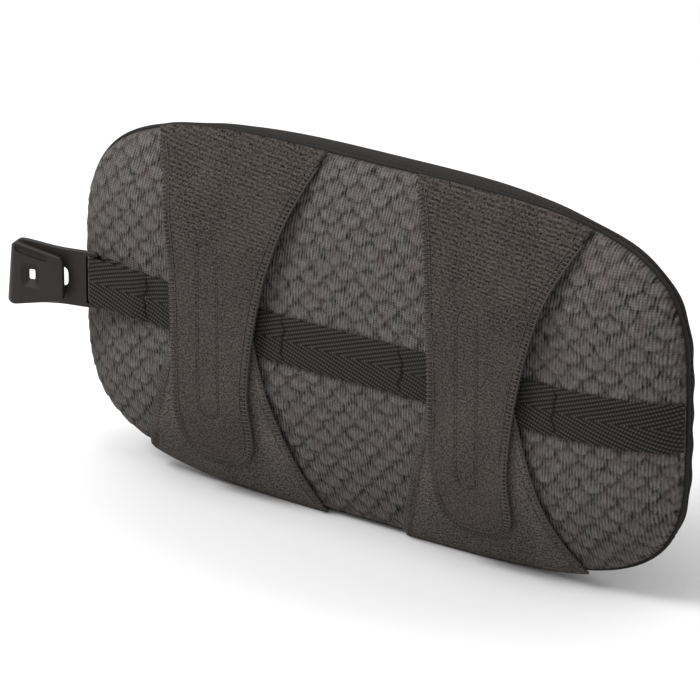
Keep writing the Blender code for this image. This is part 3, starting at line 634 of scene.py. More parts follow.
TWILL_RISE = 2.13 * MM                  # and across it
TWILL_DEPTH = 0.30 * MM
TWILL_LEVEL = 0.8                       # share of that depth that sinks below the strap's face
PICK_PITCH = 1.6 * MM
PICK_BULGE = 0.12 * MM                  # how far each pick stands out at the edges
FOLD_TACKS_X = (BAR_X + 16.5 * MM, BAR_X + 33 * MM)         # through the folded ply
PANEL_TACKS_X = (-42 * MM, 29 * MM, 118 * MM)               # through the panel
TACKS_X = FOLD_TACKS_X + PANEL_TACKS_X
TACK_DIP = 0.42 * MM
TACK_DIP_REACH = 0.7 * MM
TACK_STITCH = 1.25 * MM
TACK_SWING = 0.6 * MM                   # half the zigzag's width
TACK_THREAD = 0.24 * MM
TACK_STRAYS = ((0.9 * MM, 3.1 * MM, 900), (0.5 * MM, 1.3 * MM, 2300))


def strap_rise(x):
    """Height of the strap's middle line: level over the pad, then rising to its free end."""
    return STRAP_LIFT * ease((STRAP_LIFT_START - x) / (STRAP_LIFT_START - BAR_X))


def tack_wander(x, z):
    """How far a row strays from its x: sines of the height over a length, each with a shift by x."""
    return sum(size * np.sin(z / length + shift * x) for size, length, shift in TACK_STRAYS)


def strap_line():
    """X and Y of the webbing's middle layer, from the right seam round the bar to the ply's end."""
    fold_end = BAR_X + STRAP_RETURN
    x = np.linspace(HALF_WIDTH - GAP, fold_end, 600)
    over = over_rear(x, 0 * x, GAP + STRAP_WALL / 2)[:, :2]
    level = over[-1, 1]
    step = STRAP_WALL + GAP
    lead_y = min(level - step, BAR_Y - LOOP_RADIUS)
    share = np.linspace(0, 1, 40)[1:, None]
    ramp = np.concatenate([fold_end - STRAP_RAMP * share, level + (lead_y - level) * ease(share)], axis=1)
    lead = ramp[-1] + (np.array([BAR_X, BAR_Y - LOOP_RADIUS]) - ramp[-1]) * share
    turn = np.linspace(0, np.pi, 30)[1:-1, None]
    loop = np.array([BAR_X, BAR_Y]) - LOOP_RADIUS * np.concatenate([np.sin(turn), np.cos(turn)], axis=1)
    share = np.linspace(0, 1, 60)[:, None]
    tail_x = fold_end - STRAP_RAMP * 0.7
    tail_y = lead_y + step + GAP
    under_x = BAR_X + (tail_x - BAR_X) * share
    under_y = BAR_Y + LOOP_RADIUS + (tail_y - BAR_Y - LOOP_RADIUS) * ease(share)
    under = np.concatenate([under_x, under_y], axis=1)
    return np.concatenate([over, ramp, lead, loop, under])


def capped_tube(name, rings, flat=None):
    """A closed mesh over rings of points: quads between neighbours, and a face over each end."""
    rows, sides = rings.shape[:2]
    index = np.arange(rows * sides).reshape(rows, sides)
    after = np.roll(index, -1, axis=1)
    quads = np.stack([index[:-1], after[:-1], after[1:], index[1:]], axis=-1).reshape(-1, 4)
    ends = [index[0, ::-1].tolist(), index[-1].tolist()]
    return new_piece(name, rings, quads.tolist() + ends, flat)


def even_line(points, step):
    """An open line again at equal steps, with the distance along it."""
    length = np.concatenate([[0], np.cumsum(np.linalg.norm(np.diff(points, axis=0), axis=1))])
    at = np.linspace(0, length[-1], int(length[-1] / step))
    return np.stack([np.interp(at, length, points[:, k]) for k in range(points.shape[1])], axis=-1), at


def twill_height(along, across):
    """Herringbone ridges: a cosine of the distance along less the distance from the strap's middle.

    They fade out at the selvedge.
    """
    wave = np.cos(2 * np.pi * (along / TWILL_PITCH - np.abs(across) / TWILL_RISE))
    edge = np.clip((STRAP_WIDTH / 2 - SELVEDGE - np.abs(across)) / (0.5 * MM), 0, 1)
    return (0.5 + 0.5 * wave) * edge


line, along = even_line(strap_line(), STRAP_STEP)
ahead = np.gradient(line, axis=0)
ahead /= np.linalg.norm(ahead, axis=1, keepdims=True)
normal = np.stack([-ahead[:, 1], ahead[:, 0]], axis=1)      # towards the strap's outer face
flat_half = STRAP_WIDTH / 2 - STRAP_EDGE
face = np.linspace(1, -1, 57) * flat_half
back = face[::-8]                       # the inner face needs an eighth of the outer one's points
turn = np.linspace(0, np.pi, 5)[1:-1]
edge = flat_half + STRAP_EDGE * np.sin(turn)
section = np.concatenate([face, -edge, back, edge])
depth = np.concatenate([0 * face + 1, np.cos(turn), 0 * back - 1, -np.cos(turn)]) * STRAP_WALL / 2
outer = np.concatenate([0 * face + 1, 0 * turn, 0 * back, 0 * turn])
across = np.broadcast_to(section, (len(line), len(section)))
strap_x = line[:, :1]
dip = sum(np.exp(-((strap_x - x - tack_wander(x, across)) / TACK_DIP_REACH) ** 2) for x in TACKS_X)
in_sight = np.arange(len(line)) < len(line) * 0.85          # the rest is the folded ply beneath
dip = dip * in_sight[:, None]
height = depth + outer * TWILL_DEPTH * (twill_height(strap_x, across) - TWILL_LEVEL)
height -= outer * TACK_DIP * dip
at_edge = np.abs(section) > STRAP_WIDTH / 2 - 0.5 * MM
bulge = PICK_BULGE * np.sin(along * 2 * np.pi / PICK_PITCH)[:, None] * at_edge
strap_points = np.stack([
    strap_x + normal[:, :1] * height,
    line[:, 1:] + normal[:, 1:] * height,
    strap_rise(strap_x) + across + np.sign(across) * bulge,
], axis=-1)
strap = capped_tube("webbing", strap_points, np.stack([strap_x + 0 * across, across], axis=-1))

webbing_finish, tree, shader = new_finish("herringbone_webbing", (0.016, 0.015, 0.014), 0.70,
                                          Specular_IOR_Level=0.05)
place = add_node(tree, "UVMap", uv_map="cloth").outputs[0]
split = add_node(tree, "SeparateXYZ", {"Vector": place}).outputs
off_middle = add_maths(tree, "ABSOLUTE", split[1])
ridge = add_maths(tree, "MULTIPLY_ADD", split[0], 2 * np.pi / TWILL_PITCH,
                  add_maths(tree, "MULTIPLY", off_middle, -2 * np.pi / TWILL_RISE))
ridge = add_maths(tree, "MULTIPLY_ADD", add_maths(tree, "COSINE", ridge), 0.5, 0.5)
pick = add_maths(tree, "MULTIPLY_ADD", split[0], 2 * np.pi / PICK_PITCH,
                 add_maths(tree, "MULTIPLY", off_middle, 2 * np.pi / (3.4 * MM)))
pick = add_maths(tree, "MULTIPLY_ADD", add_maths(tree, "COSINE", pick), 0.5, 0.5)
fibre = add_speckle(tree, place, (2200, 2200, 1), 2.0)
# The weave of one dark yarn, painted lighter on its ridges and near black in its grooves: a painted
# highlight and painted shade; the same pattern drives the relief.
weave_and_ridge_light = add_maths(tree, "MULTIPLY", ridge, add_maths(tree, "MULTIPLY_ADD", pick, 0.75, 0.25))
tone = add_maths(tree, "MULTIPLY_ADD", fibre, 0.25, add_maths(tree, "MULTIPLY", weave_and_ridge_light, 0.80))
yarn = add_blend(tree, tone, (0.0006, 0.0006, 0.0005), (0.056, 0.052, 0.046))
tree.links.new(yarn, shader.inputs["Base Color"])
add_relief(tree, shader, add_maths(tree, "MULTIPLY_ADD", fibre, 0.25, weave_and_ridge_light), 0.25 * MM)
strap.data.materials.append(webbing_finish)
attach(strap, "pad")
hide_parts("webbing_strap")

# Straying zigzag rows hold the folded ply, and tack the strap to the panel beside the tongues.


def tack_row(x, half_height):
    """Stitches of one upright zigzag row, each over the strap from one side of the row to the other."""
    count = int(2 * half_height / TACK_STITCH)
    level = np.linspace(-half_height, half_height, count + 1)
    side = np.where(np.arange(count + 1) % 2, 1, -1) * TACK_SWING
    share = np.linspace(0.06, 0.94, 5)
    z = level[:-1, None] + (level[1:] - level[:-1])[:, None] * share
    stitch_x = x + tack_wander(x, z) + side[:-1, None] + (side[1:] - side[:-1])[:, None] * share
    over = line[: len(line) // 2]
    y = np.interp(-stitch_x, -over[:, 0], over[:, 1]) - STRAP_WALL / 2
    lift = 0.18 * MM * np.sin(np.pi * share) - 0.10 * MM
    return np.stack([stitch_x, y - lift, z + strap_rise(stitch_x)], axis=-1)


fold_tacks = np.concatenate([tack_row(x, half_height=10.5 * MM) for x in FOLD_TACKS_X])
tack_thread = thread_piece("webbing_tack_stitches", fold_tacks, TACK_THREAD)
panel_tacks = np.concatenate([tack_row(x, half_height=10 * MM) for x in PANEL_TACKS_X])
bar_tack_thread = thread_piece("webbing_bar_tacks", panel_tacks, TACK_THREAD)
for piece in (tack_thread, bar_tack_thread):
    piece.data.materials.append(thread_finish)
    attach(piece, "pad")
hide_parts("webbing_tack_thread")

# ---- Flaps --------------------------------------------------------------------------------------
# Brushed loop cloth, cut wide at the seam and drawn in to a round-ended tongue. The two upper
# ones close over the lower ones. Each raw edge is bound with a fine cord under overlock stitches.
TONGUES = {"left": -106 * MM, "right": 49.5 * MM}       # left edge of each tongue
FLAP_RAMP = 42 * MM                     # length over which a flap lifts off the seam
ROOT_LIFT = 0.7 * MM
TIP_CURVE = 2.6
UPPER = dict(
    sign=1, inset=0, width=44 * MM, tip=74 * MM, spread=(24 * MM, 33 * MM), curves=(4.2, 1.75),
    spread_end=40 * MM, layer=5.0 * MM, wall=1.8 * MM, cut=(0.101, 0.178), area=0.0106)
LOWER = dict(
    sign=-1, inset=3 * MM, width=38 * MM, tip=22 * MM, spread=(33 * MM, 36 * MM), curves=(1.5, 1.4),
    spread_end=22 * MM, layer=1.8 * MM, wall=1.6 * MM, cut=(0.107, 0.124), area=0.0083)
HINGES = {
    ("upper", "left"): "tongue_left", ("upper", "right"): "tongue_right",
    ("lower", "left"): "loop_left", ("lower", "right"): "loop_right",
}
FLAP_GRID = (61, 150)
NAP_FREE_SHARE = 0.86                   # share of a flap's wall that is cloth, under the nap
FLAP_ROLL = 0.22 * MM                   # waves of the free edges
FLAP_RIPPLE = 0.14 * MM                 # and of the whole flap
TAPE_TOP = 44 * MM                      # ends of the hook tape under each tongue
TAPE_BOTTOM = -52 * MM
TAPE_HALF = 8 * MM                      # half its width, and the radius of its ends
TAPE_INSET = 2 * MM                     # from its edge in to its stitches
GROOVE_DEPTH = 0.75 * MM
GROOVE_REACH = 0.9 * MM
EDGE_CORD = 0.62 * MM
CORD_TAPER = 6                          # rings over which the cord's ends thin out
BORDER_STEP = 0.35 * MM
OVERLOCK_PITCH = 2.1 * MM
OVERLOCK_WIDTH = 3.2 * MM
OVERLOCK_PROUD = 0.24 * MM              # how far the stitches stand off the cloth
OVERLOCK_LEAN = 1.3 * MM                # along the edge, from a stitch's front to its back
UNBOUND = 0.035                         # share of each side at the root that has no binding
LOOP_RIB = 1.89 * MM


def flap_layer(cut, below_root):
    """Height of a flap's inner face over the panel: eased from its seam up to its own layer."""
    return ROOT_LIFT + (cut["layer"] - ROOT_LIFT) * ease(below_root / FLAP_RAMP)


def flap_surface(cut, side, across, along, height):
    """A flap's point: across from its left to right edge, along from root to tip, over the panel.

    Its edges draw in as a power of the height over the tongue, and close to a round tip.
    """
    left = TONGUES[side] + cut["inset"]
    z = HALF_HEIGHT + (-cut["tip"] - HALF_HEIGHT) * along
    share = np.clip((z + cut["spread_end"]) / (HALF_HEIGHT + cut["spread_end"]), 0, 1)
    right = left + cut["width"] + cut["spread"][1] * share ** cut["curves"][1]
    left = left - cut["spread"][0] * share ** cut["curves"][0]
    past = np.clip(1 - (z + cut["tip"]) / (cut["width"] / 2), 0, 0.9995)
    half = (right - left) / 2 * (1 - past ** TIP_CURVE) ** (1 / TIP_CURVE)
    x = (left + right) / 2 + half * (2 * across - 1)
    root = seam_height(x) - GAP
    z = root + (-cut["tip"] - root) * along
    return over_rear(x, z * cut["sign"], flap_layer(cut, root - z) + height)


def flap_wave(across, along, seed):
    """Slight waves of a soft flap, strongest at its free edges, in metres."""
    roll = np.sin(2 * np.pi * (along * 2.3 + seed)) * (2 * across - 1) ** 2
    return FLAP_ROLL * roll + FLAP_RIPPLE * np.sin(2 * np.pi * (across * 1.1 + along * 3.1 + 2 * seed))


def groove_depth(side, x, z):
    """How much the stitching pulls the tongue down: a narrow dip along the tape's outline."""
    centre = TONGUES[side] + UPPER["width"] / 2
    straight = np.clip(z, TAPE_BOTTOM + TAPE_HALF, TAPE_TOP - TAPE_HALF)
    off_line = np.abs(np.hypot(x - centre, z - straight) - (TAPE_HALF - TAPE_INSET))
    return GROOVE_DEPTH * np.exp(-(off_line / GROOVE_REACH) ** 2)


def bend_flap(piece, side, cut):
    """Bake a flap's piece into its mesh as it lies; the ends of its seam are found but not used."""
    ends = flap_surface(cut, side, np.array([0.0, 1.0]), np.zeros(2), 0.0)
    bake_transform(piece)


def add_overlock(side, cut, name):
    """Binding of a flap's raw edge: a fine cord beside it and the stitches that wrap over both.

    Each stitch is a half turn whose height follows the cosine and whose reach follows the sine.
    """
    share = np.linspace(UNBOUND, 1, 700)
    middle = cut["wall"] / 2
    left_edge = flap_surface(cut, side, 0, share, middle)
    right_edge = flap_surface(cut, side, 1, share[::-1], middle)
    border, at = even_line(np.concatenate([left_edge, right_edge]), BORDER_STEP)
    ahead = np.gradient(border, axis=0)
    ahead /= np.linalg.norm(ahead, axis=1, keepdims=True)
    foot = over_rear(border[:, 0], border[:, 2], 0.0)
    up_normal = over_rear(border[:, 0], border[:, 2], 1 * MM) - foot
    up_normal /= np.linalg.norm(up_normal, axis=1, keepdims=True)
    out = np.cross(ahead, up_normal) * cut["sign"]
    out /= np.linalg.norm(out, axis=1, keepdims=True)

    cord_line = border + out * EDGE_CORD
    turn = np.linspace(0, 2 * np.pi, 8, endpoint=False)
    wave = out[:, None] * np.cos(turn)[:, None] + up_normal[:, None] * np.sin(turn)[:, None]
    ring = np.arange(len(at))
    taper = EDGE_CORD * np.clip(np.minimum(ring, ring[::-1]) / CORD_TAPER, 0.05, 1)
    cord_points = cord_line[:, None] + wave * taper[:, None, None]
    cord = grid_piece(name + "_cord", cord_points, wrap=True, flip=cut["sign"] < 0)

    span = int(round(OVERLOCK_PITCH / BORDER_STEP))
    phase = np.linspace(0.02, 0.98, 9) * np.pi
    rise = np.sign(np.cos(phase)) * np.abs(np.cos(phase)) ** 0.35 * (middle + OVERLOCK_PROUD)
    reach = -OVERLOCK_WIDTH + (OVERLOCK_WIDTH + 2 * EDGE_CORD + 0.2 * MM) * np.sin(phase) ** 0.8
    lean = np.linspace(-0.5, 0.5, 9) * OVERLOCK_LEAN
    lines = (border[::span, None] + out[::span, None] * reach[:, None]
             + up_normal[::span, None] * rise[:, None] + ahead[::span, None] * lean[:, None])
    stitches = thread_piece(name + "_stitches", lines, 0.32 * MM, sides=5)

    run = border - out * (OVERLOCK_WIDTH - 0.1 * MM) + up_normal * (middle + 0.2 * MM)
    starts = np.arange(0, len(at) - span, span)
    chain = np.stack([run[starts + int(k * span / 4)] for k in range(5)], axis=1)
    chain += up_normal[starts][:, None] * (0.12 * MM * np.sin(np.linspace(0, np.pi, 5)))[:, None]
    looper = thread_piece(name + "_looper", chain, 0.25 * MM, sides=5)
    for piece in (cord, stitches, looper):
        piece.data.materials.append(overlock_finish)
        bend_flap(piece, side, cut)
    return cord


overlock_finish = grained_finish(
    "overlock_thread", (0.05, 0.044, 0.040), 0.75, low=(0.026, 0.023, 0.0205), high=(0.100, 0.089, 0.082),
    depth=0.12 * MM, grains=2200, detail=1.0, Specular_IOR_Level=0.08)


def loop_cloth(name, dark, light, rib_strength):
    """Brushed loop: fine nap over ribs across the flap, which the brushing hides towards the tip."""
    finish, tree, shader = new_finish(name, light, 0.95,
                                      Sheen_Weight=0.02, Sheen_Roughness=0.45, Specular_IOR_Level=0.03)
    place = add_node(tree, "UVMap", uv_map="cloth").outputs[0]
    split = add_node(tree, "SeparateXYZ", {"Vector": place}).outputs
    wander = add_maths(tree, "MULTIPLY", add_speckle(tree, place, (150, 500, 1), 3.0), 4.0)
    slant = add_maths(tree, "MULTIPLY_ADD", split[0], 2 * np.pi * 45, wander)
    rib = add_maths(tree, "MULTIPLY_ADD", split[1], 2 * np.pi / LOOP_RIB, slant)
    rib = add_maths(tree, "MULTIPLY_ADD", add_maths(tree, "COSINE", rib), 0.5, 0.5)
    near_root = add_node(tree, "MapRange", {
        "Value": split[1], "From Min": -10 * MM, "From Max": 60 * MM, "To Min": 0.15, "To Max": 1.0,
    }).outputs[0]
    rib = add_maths(tree, "MULTIPLY", rib, add_maths(tree, "MULTIPLY", near_root, rib_strength))
    nap = add_speckle(tree, place, (950, 1100, 1), 3.0, 3.6)
    tuft = add_speckle(tree, place, (420, 420, 1), 3.0, 1.5)
    cloud = add_speckle(tree, place, (45, 30, 1), 3.0)
    tone = add_maths(tree, "MULTIPLY_ADD", nap, 0.55, add_maths(tree, "MULTIPLY", tuft, 0.30))
    tone = add_maths(tree, "MULTIPLY_ADD", near_root, -0.20, tone)
    tone = add_maths(tree, "MULTIPLY_ADD", rib, 0.19, tone)
    tone = add_maths(tree, "MULTIPLY_ADD", cloud, 0.30, add_maths(tree, "SUBTRACT", tone, 0.12))
    tree.links.new(add_blend(tree, tone, dark, light), shader.inputs["Base Color"])
    height = add_maths(tree, "MULTIPLY_ADD", tuft, 0.3, add_maths(tree, "MULTIPLY", nap, 0.6))
    height = add_maths(tree, "MULTIPLY_ADD", rib, 0.9, height)
    add_relief(tree, shader, height, 0.40 * MM)
    return finish


upper_cloth = loop_cloth("upper_loop_cloth", (0.0035, 0.0030, 0.0027), (0.103, 0.089, 0.081), 1.0)
lower_cloth = loop_cloth("lower_loop_cloth", (0.016, 0.014, 0.0128), (0.185, 0.165, 0.151), 0.3)

for seed, (level, side) in enumerate(HINGES):
    cut = UPPER if level == "upper" else LOWER
    body = HINGES[level, side]
    rows = 1 - (1 - np.linspace(0, 1, FLAP_GRID[1])) ** 1.5     # closer towards the tip
    across, along = np.meshgrid(np.linspace(0, 1, FLAP_GRID[0]), rows)
    wave = flap_wave(across, along, 0.37 * seed) * np.clip(along * 6, 0, 1)
    base = flap_surface(cut, side, across, along, 0 * across)
    if level == "upper":
        wave = wave - groove_depth(side, base[..., 0], base[..., 2])
    points = flap_surface(cut, side, across, along, cut["wall"] + wave)
    flat = np.stack([base[..., 0], base[..., 2] * cut["sign"]], axis=-1)
    flap = grid_piece(f"{level}_flap_{side}_cloth", points, flat, flip=level == "upper")
    add_wall(flap, cut["wall"] * NAP_FREE_SHARE)
    flap.data.materials.append(upper_cloth if level == "upper" else lower_cloth)
    bend_flap(flap, side, cut)
    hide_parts(f"{level}_flap_{side}")
    edging = add_overlock(side, cut, f"{level}_flap_{side}_overlock")
    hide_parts(f"{level}_flap_edging_{side}")

# ---- Hook tapes ---------------------------------------------------------------------------------
# A strip of moulded hooks with round ends, sewn under each tongue so that it grips the loop flap.
# One row of lockstitches runs round it and shows on the tongue's outer face.
TAPE_LAYER = 3.7 * MM                   # from the panel to the tips of the hooks
TAPE_WALL = 0.5 * MM
TAPE_MIDDLE = (TAPE_TOP + TAPE_BOTTOM) / 2
TAPE_STRAIGHT = (TAPE_TOP - TAPE_BOTTOM) / 2 - TAPE_HALF    # half the length between its round ends
HOOK_PITCH = 1.55 * MM
HOOK_HEIGHT = 1.0 * MM
HOOK_MARGIN = 0.8 * MM
HOOK_STEM = 0.11 * MM
HOOK_LEAN = 0.8 * MM
PATH_STEP = 0.2 * MM
TAPE_STITCH = 2.6 * MM
STITCH_SHOWS = 0.74                     # share of the pitch that lies on the tongue's outer face


def tape_end(z):
    """How far a height lies past the tape's straight sides, towards either round end."""
    return np.maximum(np.abs(z - TAPE_MIDDLE) - TAPE_STRAIGHT, 0)


def tape_line(centre):
    """The stitched outline of a hook tape: two straight sides joined by half circles."""
    radius = TAPE_HALF - TAPE_INSET
    turn = np.linspace(0, np.pi, 40)
    x = np.concatenate([radius * np.cos(turn), -radius * np.cos(turn)]) + centre
    z = np.concatenate([TAPE_TOP - TAPE_HALF + radius * np.sin(turn),
                        TAPE_BOTTOM + TAPE_HALF - radius * np.sin(turn)])
    closed = np.stack([np.append(x, x[0]), np.zeros(len(x) + 1), np.append(z, z[0])], axis=-1)
    return even_line(even_line(closed, 0.25 * MM)[0], PATH_STEP)[0]


tape_finish = grained_finish(
    "hook_tape", (0.025, 0.024, 0.023), 0.5, low=(0.006, 0.0055, 0.005), high=(0.018, 0.0165, 0.015),
    depth=0.1 * MM, grains=1400, detail=2.0)

for side in TONGUES:
    centre = TONGUES[side] + UPPER["width"] / 2
    body = HINGES["upper", side]
    share, z = np.meshgrid(np.linspace(-1, 1, 13), np.linspace(TAPE_TOP, TAPE_BOTTOM, 120))
    half = TAPE_HALF * np.sqrt(np.maximum(1 - (tape_end(z) / TAPE_HALF) ** 2, 0.002))
    tape = grid_piece(f"hook_tape_{side}_strip",
                      over_rear(centre + half * share, z, TAPE_LAYER + HOOK_HEIGHT))
    add_wall(tape, TAPE_WALL, offset=1)
    tape.data.materials.append(tape_finish)

    columns = np.arange(-4, 5) * HOOK_PITCH
    rows = np.arange(TAPE_BOTTOM + TAPE_INSET, TAPE_TOP - TAPE_INSET, HOOK_PITCH)
    hook_x, hook_z = (grid.reshape(-1) for grid in np.meshgrid(columns, rows))
    inside = np.hypot(hook_x, tape_end(hook_z)) < TAPE_HALF - HOOK_MARGIN
    hook_x, hook_z = hook_x[inside], hook_z[inside]
    lean = np.where(np.round(hook_x / HOOK_PITCH).astype(int) % 2, 1, -1)
    bend = np.array([0, 0.05, 0.25, 0.62, 0.80])
    drop = np.array([0.55, 0.30, 0.05, 0.0, 0.16]) * MM
    hook_lines = over_rear(centre + hook_x[:, None] + 0 * bend,
                           hook_z[:, None] + lean[:, None] * bend * HOOK_LEAN, TAPE_LAYER + drop)
    hooks = thread_piece(f"hook_tape_{side}_hooks", hook_lines, HOOK_STEM, sides=4)
    hooks.data.materials.append(tape_finish)

    path = tape_line(centre)
    span = int(round(TAPE_STITCH / PATH_STEP))
    starts = np.arange(0, len(path) - span, span)
    share = np.linspace(0, STITCH_SHOWS, 5)
    x, _, z = np.moveaxis(path[starts[:, None] + (share * span).astype(int)], -1, 0)
    layer = flap_layer(UPPER, seam_height(x) - GAP - z)
    lift = 0.18 * MM * np.sin(np.pi * share / STITCH_SHOWS) - 0.25 * MM
    stitches = thread_piece(f"hook_tape_{side}_stitches",
                            over_rear(x, z, layer + UPPER["wall"] + lift), 0.24 * MM, sides=5)
    stitches.data.materials.append(overlock_finish)
    for piece, finish_slot in ((tape, "hook_tape"), (hooks, "hook_tape"), (stitches, "thread")):
        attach(piece, body)
    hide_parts(f"hook_tape_{side}")
    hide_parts(f"hook_tape_thread_{side}")

# ---- Hook buckle --------------------------------------------------------------------------------
# One moulding in fine-textured plastic: a crossbar and slot for the webbing, a plate that flares
# to a U bend, and a tab in front of it with a square funnel and a stippled grip pocket.
BUCKLE_ANGLE = np.radians(13.0)
BUCKLE_WALL = 2.6 * MM
BUCKLE_LENGTH = 47 * MM                 # crossbar centre to the bend's outer face
HOOK_GAP = 3 * MM
EDGE_ROUND = 0.95 * MM
ARM_INNER = STRAP_WIDTH / 2 + GAP
PLATE_WAIST = ARM_INNER + 2.2 * MM      # the arms' outer half width
PLATE_END = PLATE_WAIST + 2.0 * MM
SLOT_REACH = 4.5 * MM                   # from the crossbar's centre to the slot's end on the plate
SLOT_OPEN = 4 * MM                      # and to its open end, past the arms
ARM_END = 2.3 * MM                      # the arms' round ends, past the crossbar
TAB_END_HALF = 11.3 * MM
TAB_END_REACH = 14.5 * MM
TAB_CORNER = 3 * MM
BEND_CORNER = 6 * MM
FUNNEL_X = -32.6 * MM
FUNNEL_MOUTH = (5.4 * MM, 6.9 * MM)     # half width and half height
FUNNEL_THROAT = (1.6 * MM, 2.6 * MM)
FUNNEL_DEPTH = 2.4 * MM                 # from the mouth to the throat
WINDOW_X = (-39 * MM, -14.2 * MM)
WINDOW_HALF = 6 * MM
POCKET_MIDDLE = (-32.0 * MM, 11.7 * MM)
POCKET_SLOPE = -0.2
POCKET_HALF = (9.0 * MM, 1.9 * MM)
POCKET_DEPTH = 0.8 * MM
STIPPLE_PITCH = 0.9 * MM
STIPPLE_HEIGHT = 0.16 * MM
LINING_PROUD = 0.2 * MM                 # how far the lining stands in front of the pocket's floor
BEND_SLANT = 3.0 * MM                   # how much shorter the hook is at its upper corner
SLANT_START = 20 * MM
BEND_RADIUS = (HOOK_GAP + BUCKLE_WALL) / 2
BEND_X = -(BUCKLE_LENGTH - BEND_RADIUS - BUCKLE_WALL / 2)
TAB_FACE = -2 * BEND_RADIUS - BUCKLE_WALL / 2


def hook_rings():
    """Rings of the hook from its arms round the bend to the tab's free end.

    Each is a rectangle with round corners: its half height flares with the reach, and its height
    and wall both draw in by a quarter circle at the two ends of the hook. Past the slant's start,
    the rings lean back towards the top by the square of the reach.
    """
    close = (1 - np.cos(np.linspace(0, np.pi / 2, 12))) * TAB_CORNER
    plate = np.concatenate([ARM_END - close, np.linspace(ARM_END - TAB_CORNER, BEND_X, 60)[1:]])
    turn = np.linspace(0, np.pi, 26)[1:-1]
    tab = np.linspace(BEND_X, -TAB_END_REACH - TAB_CORNER, 50)
    tab = np.concatenate([tab, -TAB_END_REACH - close[-2::-1]])
    x = np.concatenate([plate, BEND_X - BEND_RADIUS * np.sin(turn), tab])
    y = np.concatenate([0 * plate, -BEND_RADIUS + BEND_RADIUS * np.cos(turn), 0 * tab - 2 * BEND_RADIUS])
    facing = np.concatenate([0 * plate, turn, 0 * tab + np.pi])
    reach = -x
    share = (reach - TAB_END_REACH) / (-BEND_X - TAB_END_REACH)
    on_plate = PLATE_WAIST + (PLATE_END - PLATE_WAIST) * ease(share)
    on_tab = TAB_END_HALF + (PLATE_END - TAB_END_HALF) * np.minimum(share, 1)
    is_tab = facing > np.pi / 2
    half = np.where(is_tab, on_tab, on_plate)
    past = np.clip(reach - (BUCKLE_LENGTH - BEND_CORNER), 0, BEND_CORNER)
    half -= BEND_CORNER - np.sqrt(BEND_CORNER ** 2 - past ** 2)
    from_end = np.where(is_tab, reach - TAB_END_REACH, ARM_END + reach)
    short = np.clip(1 - from_end / TAB_CORNER, 0, 0.999)
    half -= np.where(is_tab, 1.0, 0.6) * TAB_CORNER * (1 - np.sqrt(1 - short ** 2))
    near = np.clip(1 - from_end / EDGE_ROUND, 0, 0.97)
    wall = BUCKLE_WALL / 2 * np.sqrt(1 - near ** 2)
    corner = np.linspace(0, np.pi / 2, 6)
    quarter = np.concatenate([corner, corner + np.pi / 2, corner + np.pi, corner + 3 * np.pi / 2])
    round_now = np.minimum(EDGE_ROUND, wall)[:, None]
    up = np.sign(np.cos(quarter + 1e-9)) * (half[:, None] - round_now) + round_now * np.cos(quarter)
    out = np.sign(np.sin(quarter + 1e-9)) * (wall[:, None] - round_now) + round_now * np.sin(quarter)
    points = np.stack([
        x[:, None] + out * np.sin(facing)[:, None],
        y[:, None] - out * np.cos(facing)[:, None],
        up,
    ], axis=-1)
    slant = np.clip((-points[..., 0] - SLANT_START) / (BUCKLE_LENGTH - SLANT_START), 0, 1) ** 2
    points[..., 0] += BEND_SLANT * slant * np.clip(0.5 + points[..., 2] / (2 * PLATE_END), 0, 1)
    return points


def rounded_column(centre, half, exponent, depths, growth=0.0):
    """A cutter through the wall: superellipse rings at depths along y, each with its own growth."""
    turn = np.linspace(0, 2 * np.pi, 48, endpoint=False)
    growth = np.broadcast_to(growth, (len(depths), 2))
    across = np.sign(np.cos(turn)) * np.abs(np.cos(turn)) ** (2 / exponent)
    up = np.sign(np.sin(turn)) * np.abs(np.sin(turn)) ** (2 / exponent)
    return np.stack([
        centre[0] + across * (half[0] + growth[:, :1]),
        np.asarray(depths)[:, None] + 0 * across,
        centre[1] + up * (half[1] + growth[:, 1:]),
    ], axis=-1)


def right_way_out(piece):
    """Turn a closed piece's faces outwards."""
    shell = bmesh.new()
    shell.from_mesh(piece.data)
    bmesh.ops.recalc_face_normals(shell, faces=shell.faces)
    shell.to_mesh(piece.data)
    shell.free()
    return piece


def cut_out(piece, cutters):
    """The piece less its cutters, as a plain mesh; the cutters are removed."""
    for cutter in cutters:
        step = piece.modifiers.new(cutter.name, "BOOLEAN")
        step.operation = "DIFFERENCE"
        step.object = cutter
    shape = bpy.data.meshes.new_from_object(piece.evaluated_get(bpy.context.evaluated_depsgraph_get()))
    piece.modifiers.clear()
    piece.data = shape
    for cutter in cutters:
        bpy.data.objects.remove(cutter)


hook = right_way_out(capped_tube("hook_buckle_moulding", hook_rings()))
through = (-BUCKLE_WALL, 0, BUCKLE_WALL)
slot = rounded_column(((SLOT_OPEN - SLOT_REACH) / 2, 0), ((SLOT_OPEN + SLOT_REACH) / 2, ARM_INNER),
                      16, through)
window = rounded_column((sum(WINDOW_X) / 2, 0), ((WINDOW_X[1] - WINDOW_X[0]) / 2, WINDOW_HALF),
                        4, through)
depth = np.array([-0.3, 0, 0.35, 0.8, 1.4, 2.0, 2.4, 3.2]) * MM
narrowing = 1 - np.clip(depth / FUNNEL_DEPTH, -0.2, 1)[:, None]
growth = narrowing * (np.array(FUNNEL_MOUTH) - np.array(FUNNEL_THROAT))
funnel = rounded_column((FUNNEL_X, 0), FUNNEL_THROAT, 6, TAB_FACE + depth, growth)
pocket = rounded_column(POCKET_MIDDLE, POCKET_HALF, 4, (TAB_FACE - 1 * MM, TAB_FACE + POCKET_DEPTH))
pocket[..., 2] += POCKET_SLOPE * (pocket[..., 0] - POCKET_MIDDLE[0])
cutters = []
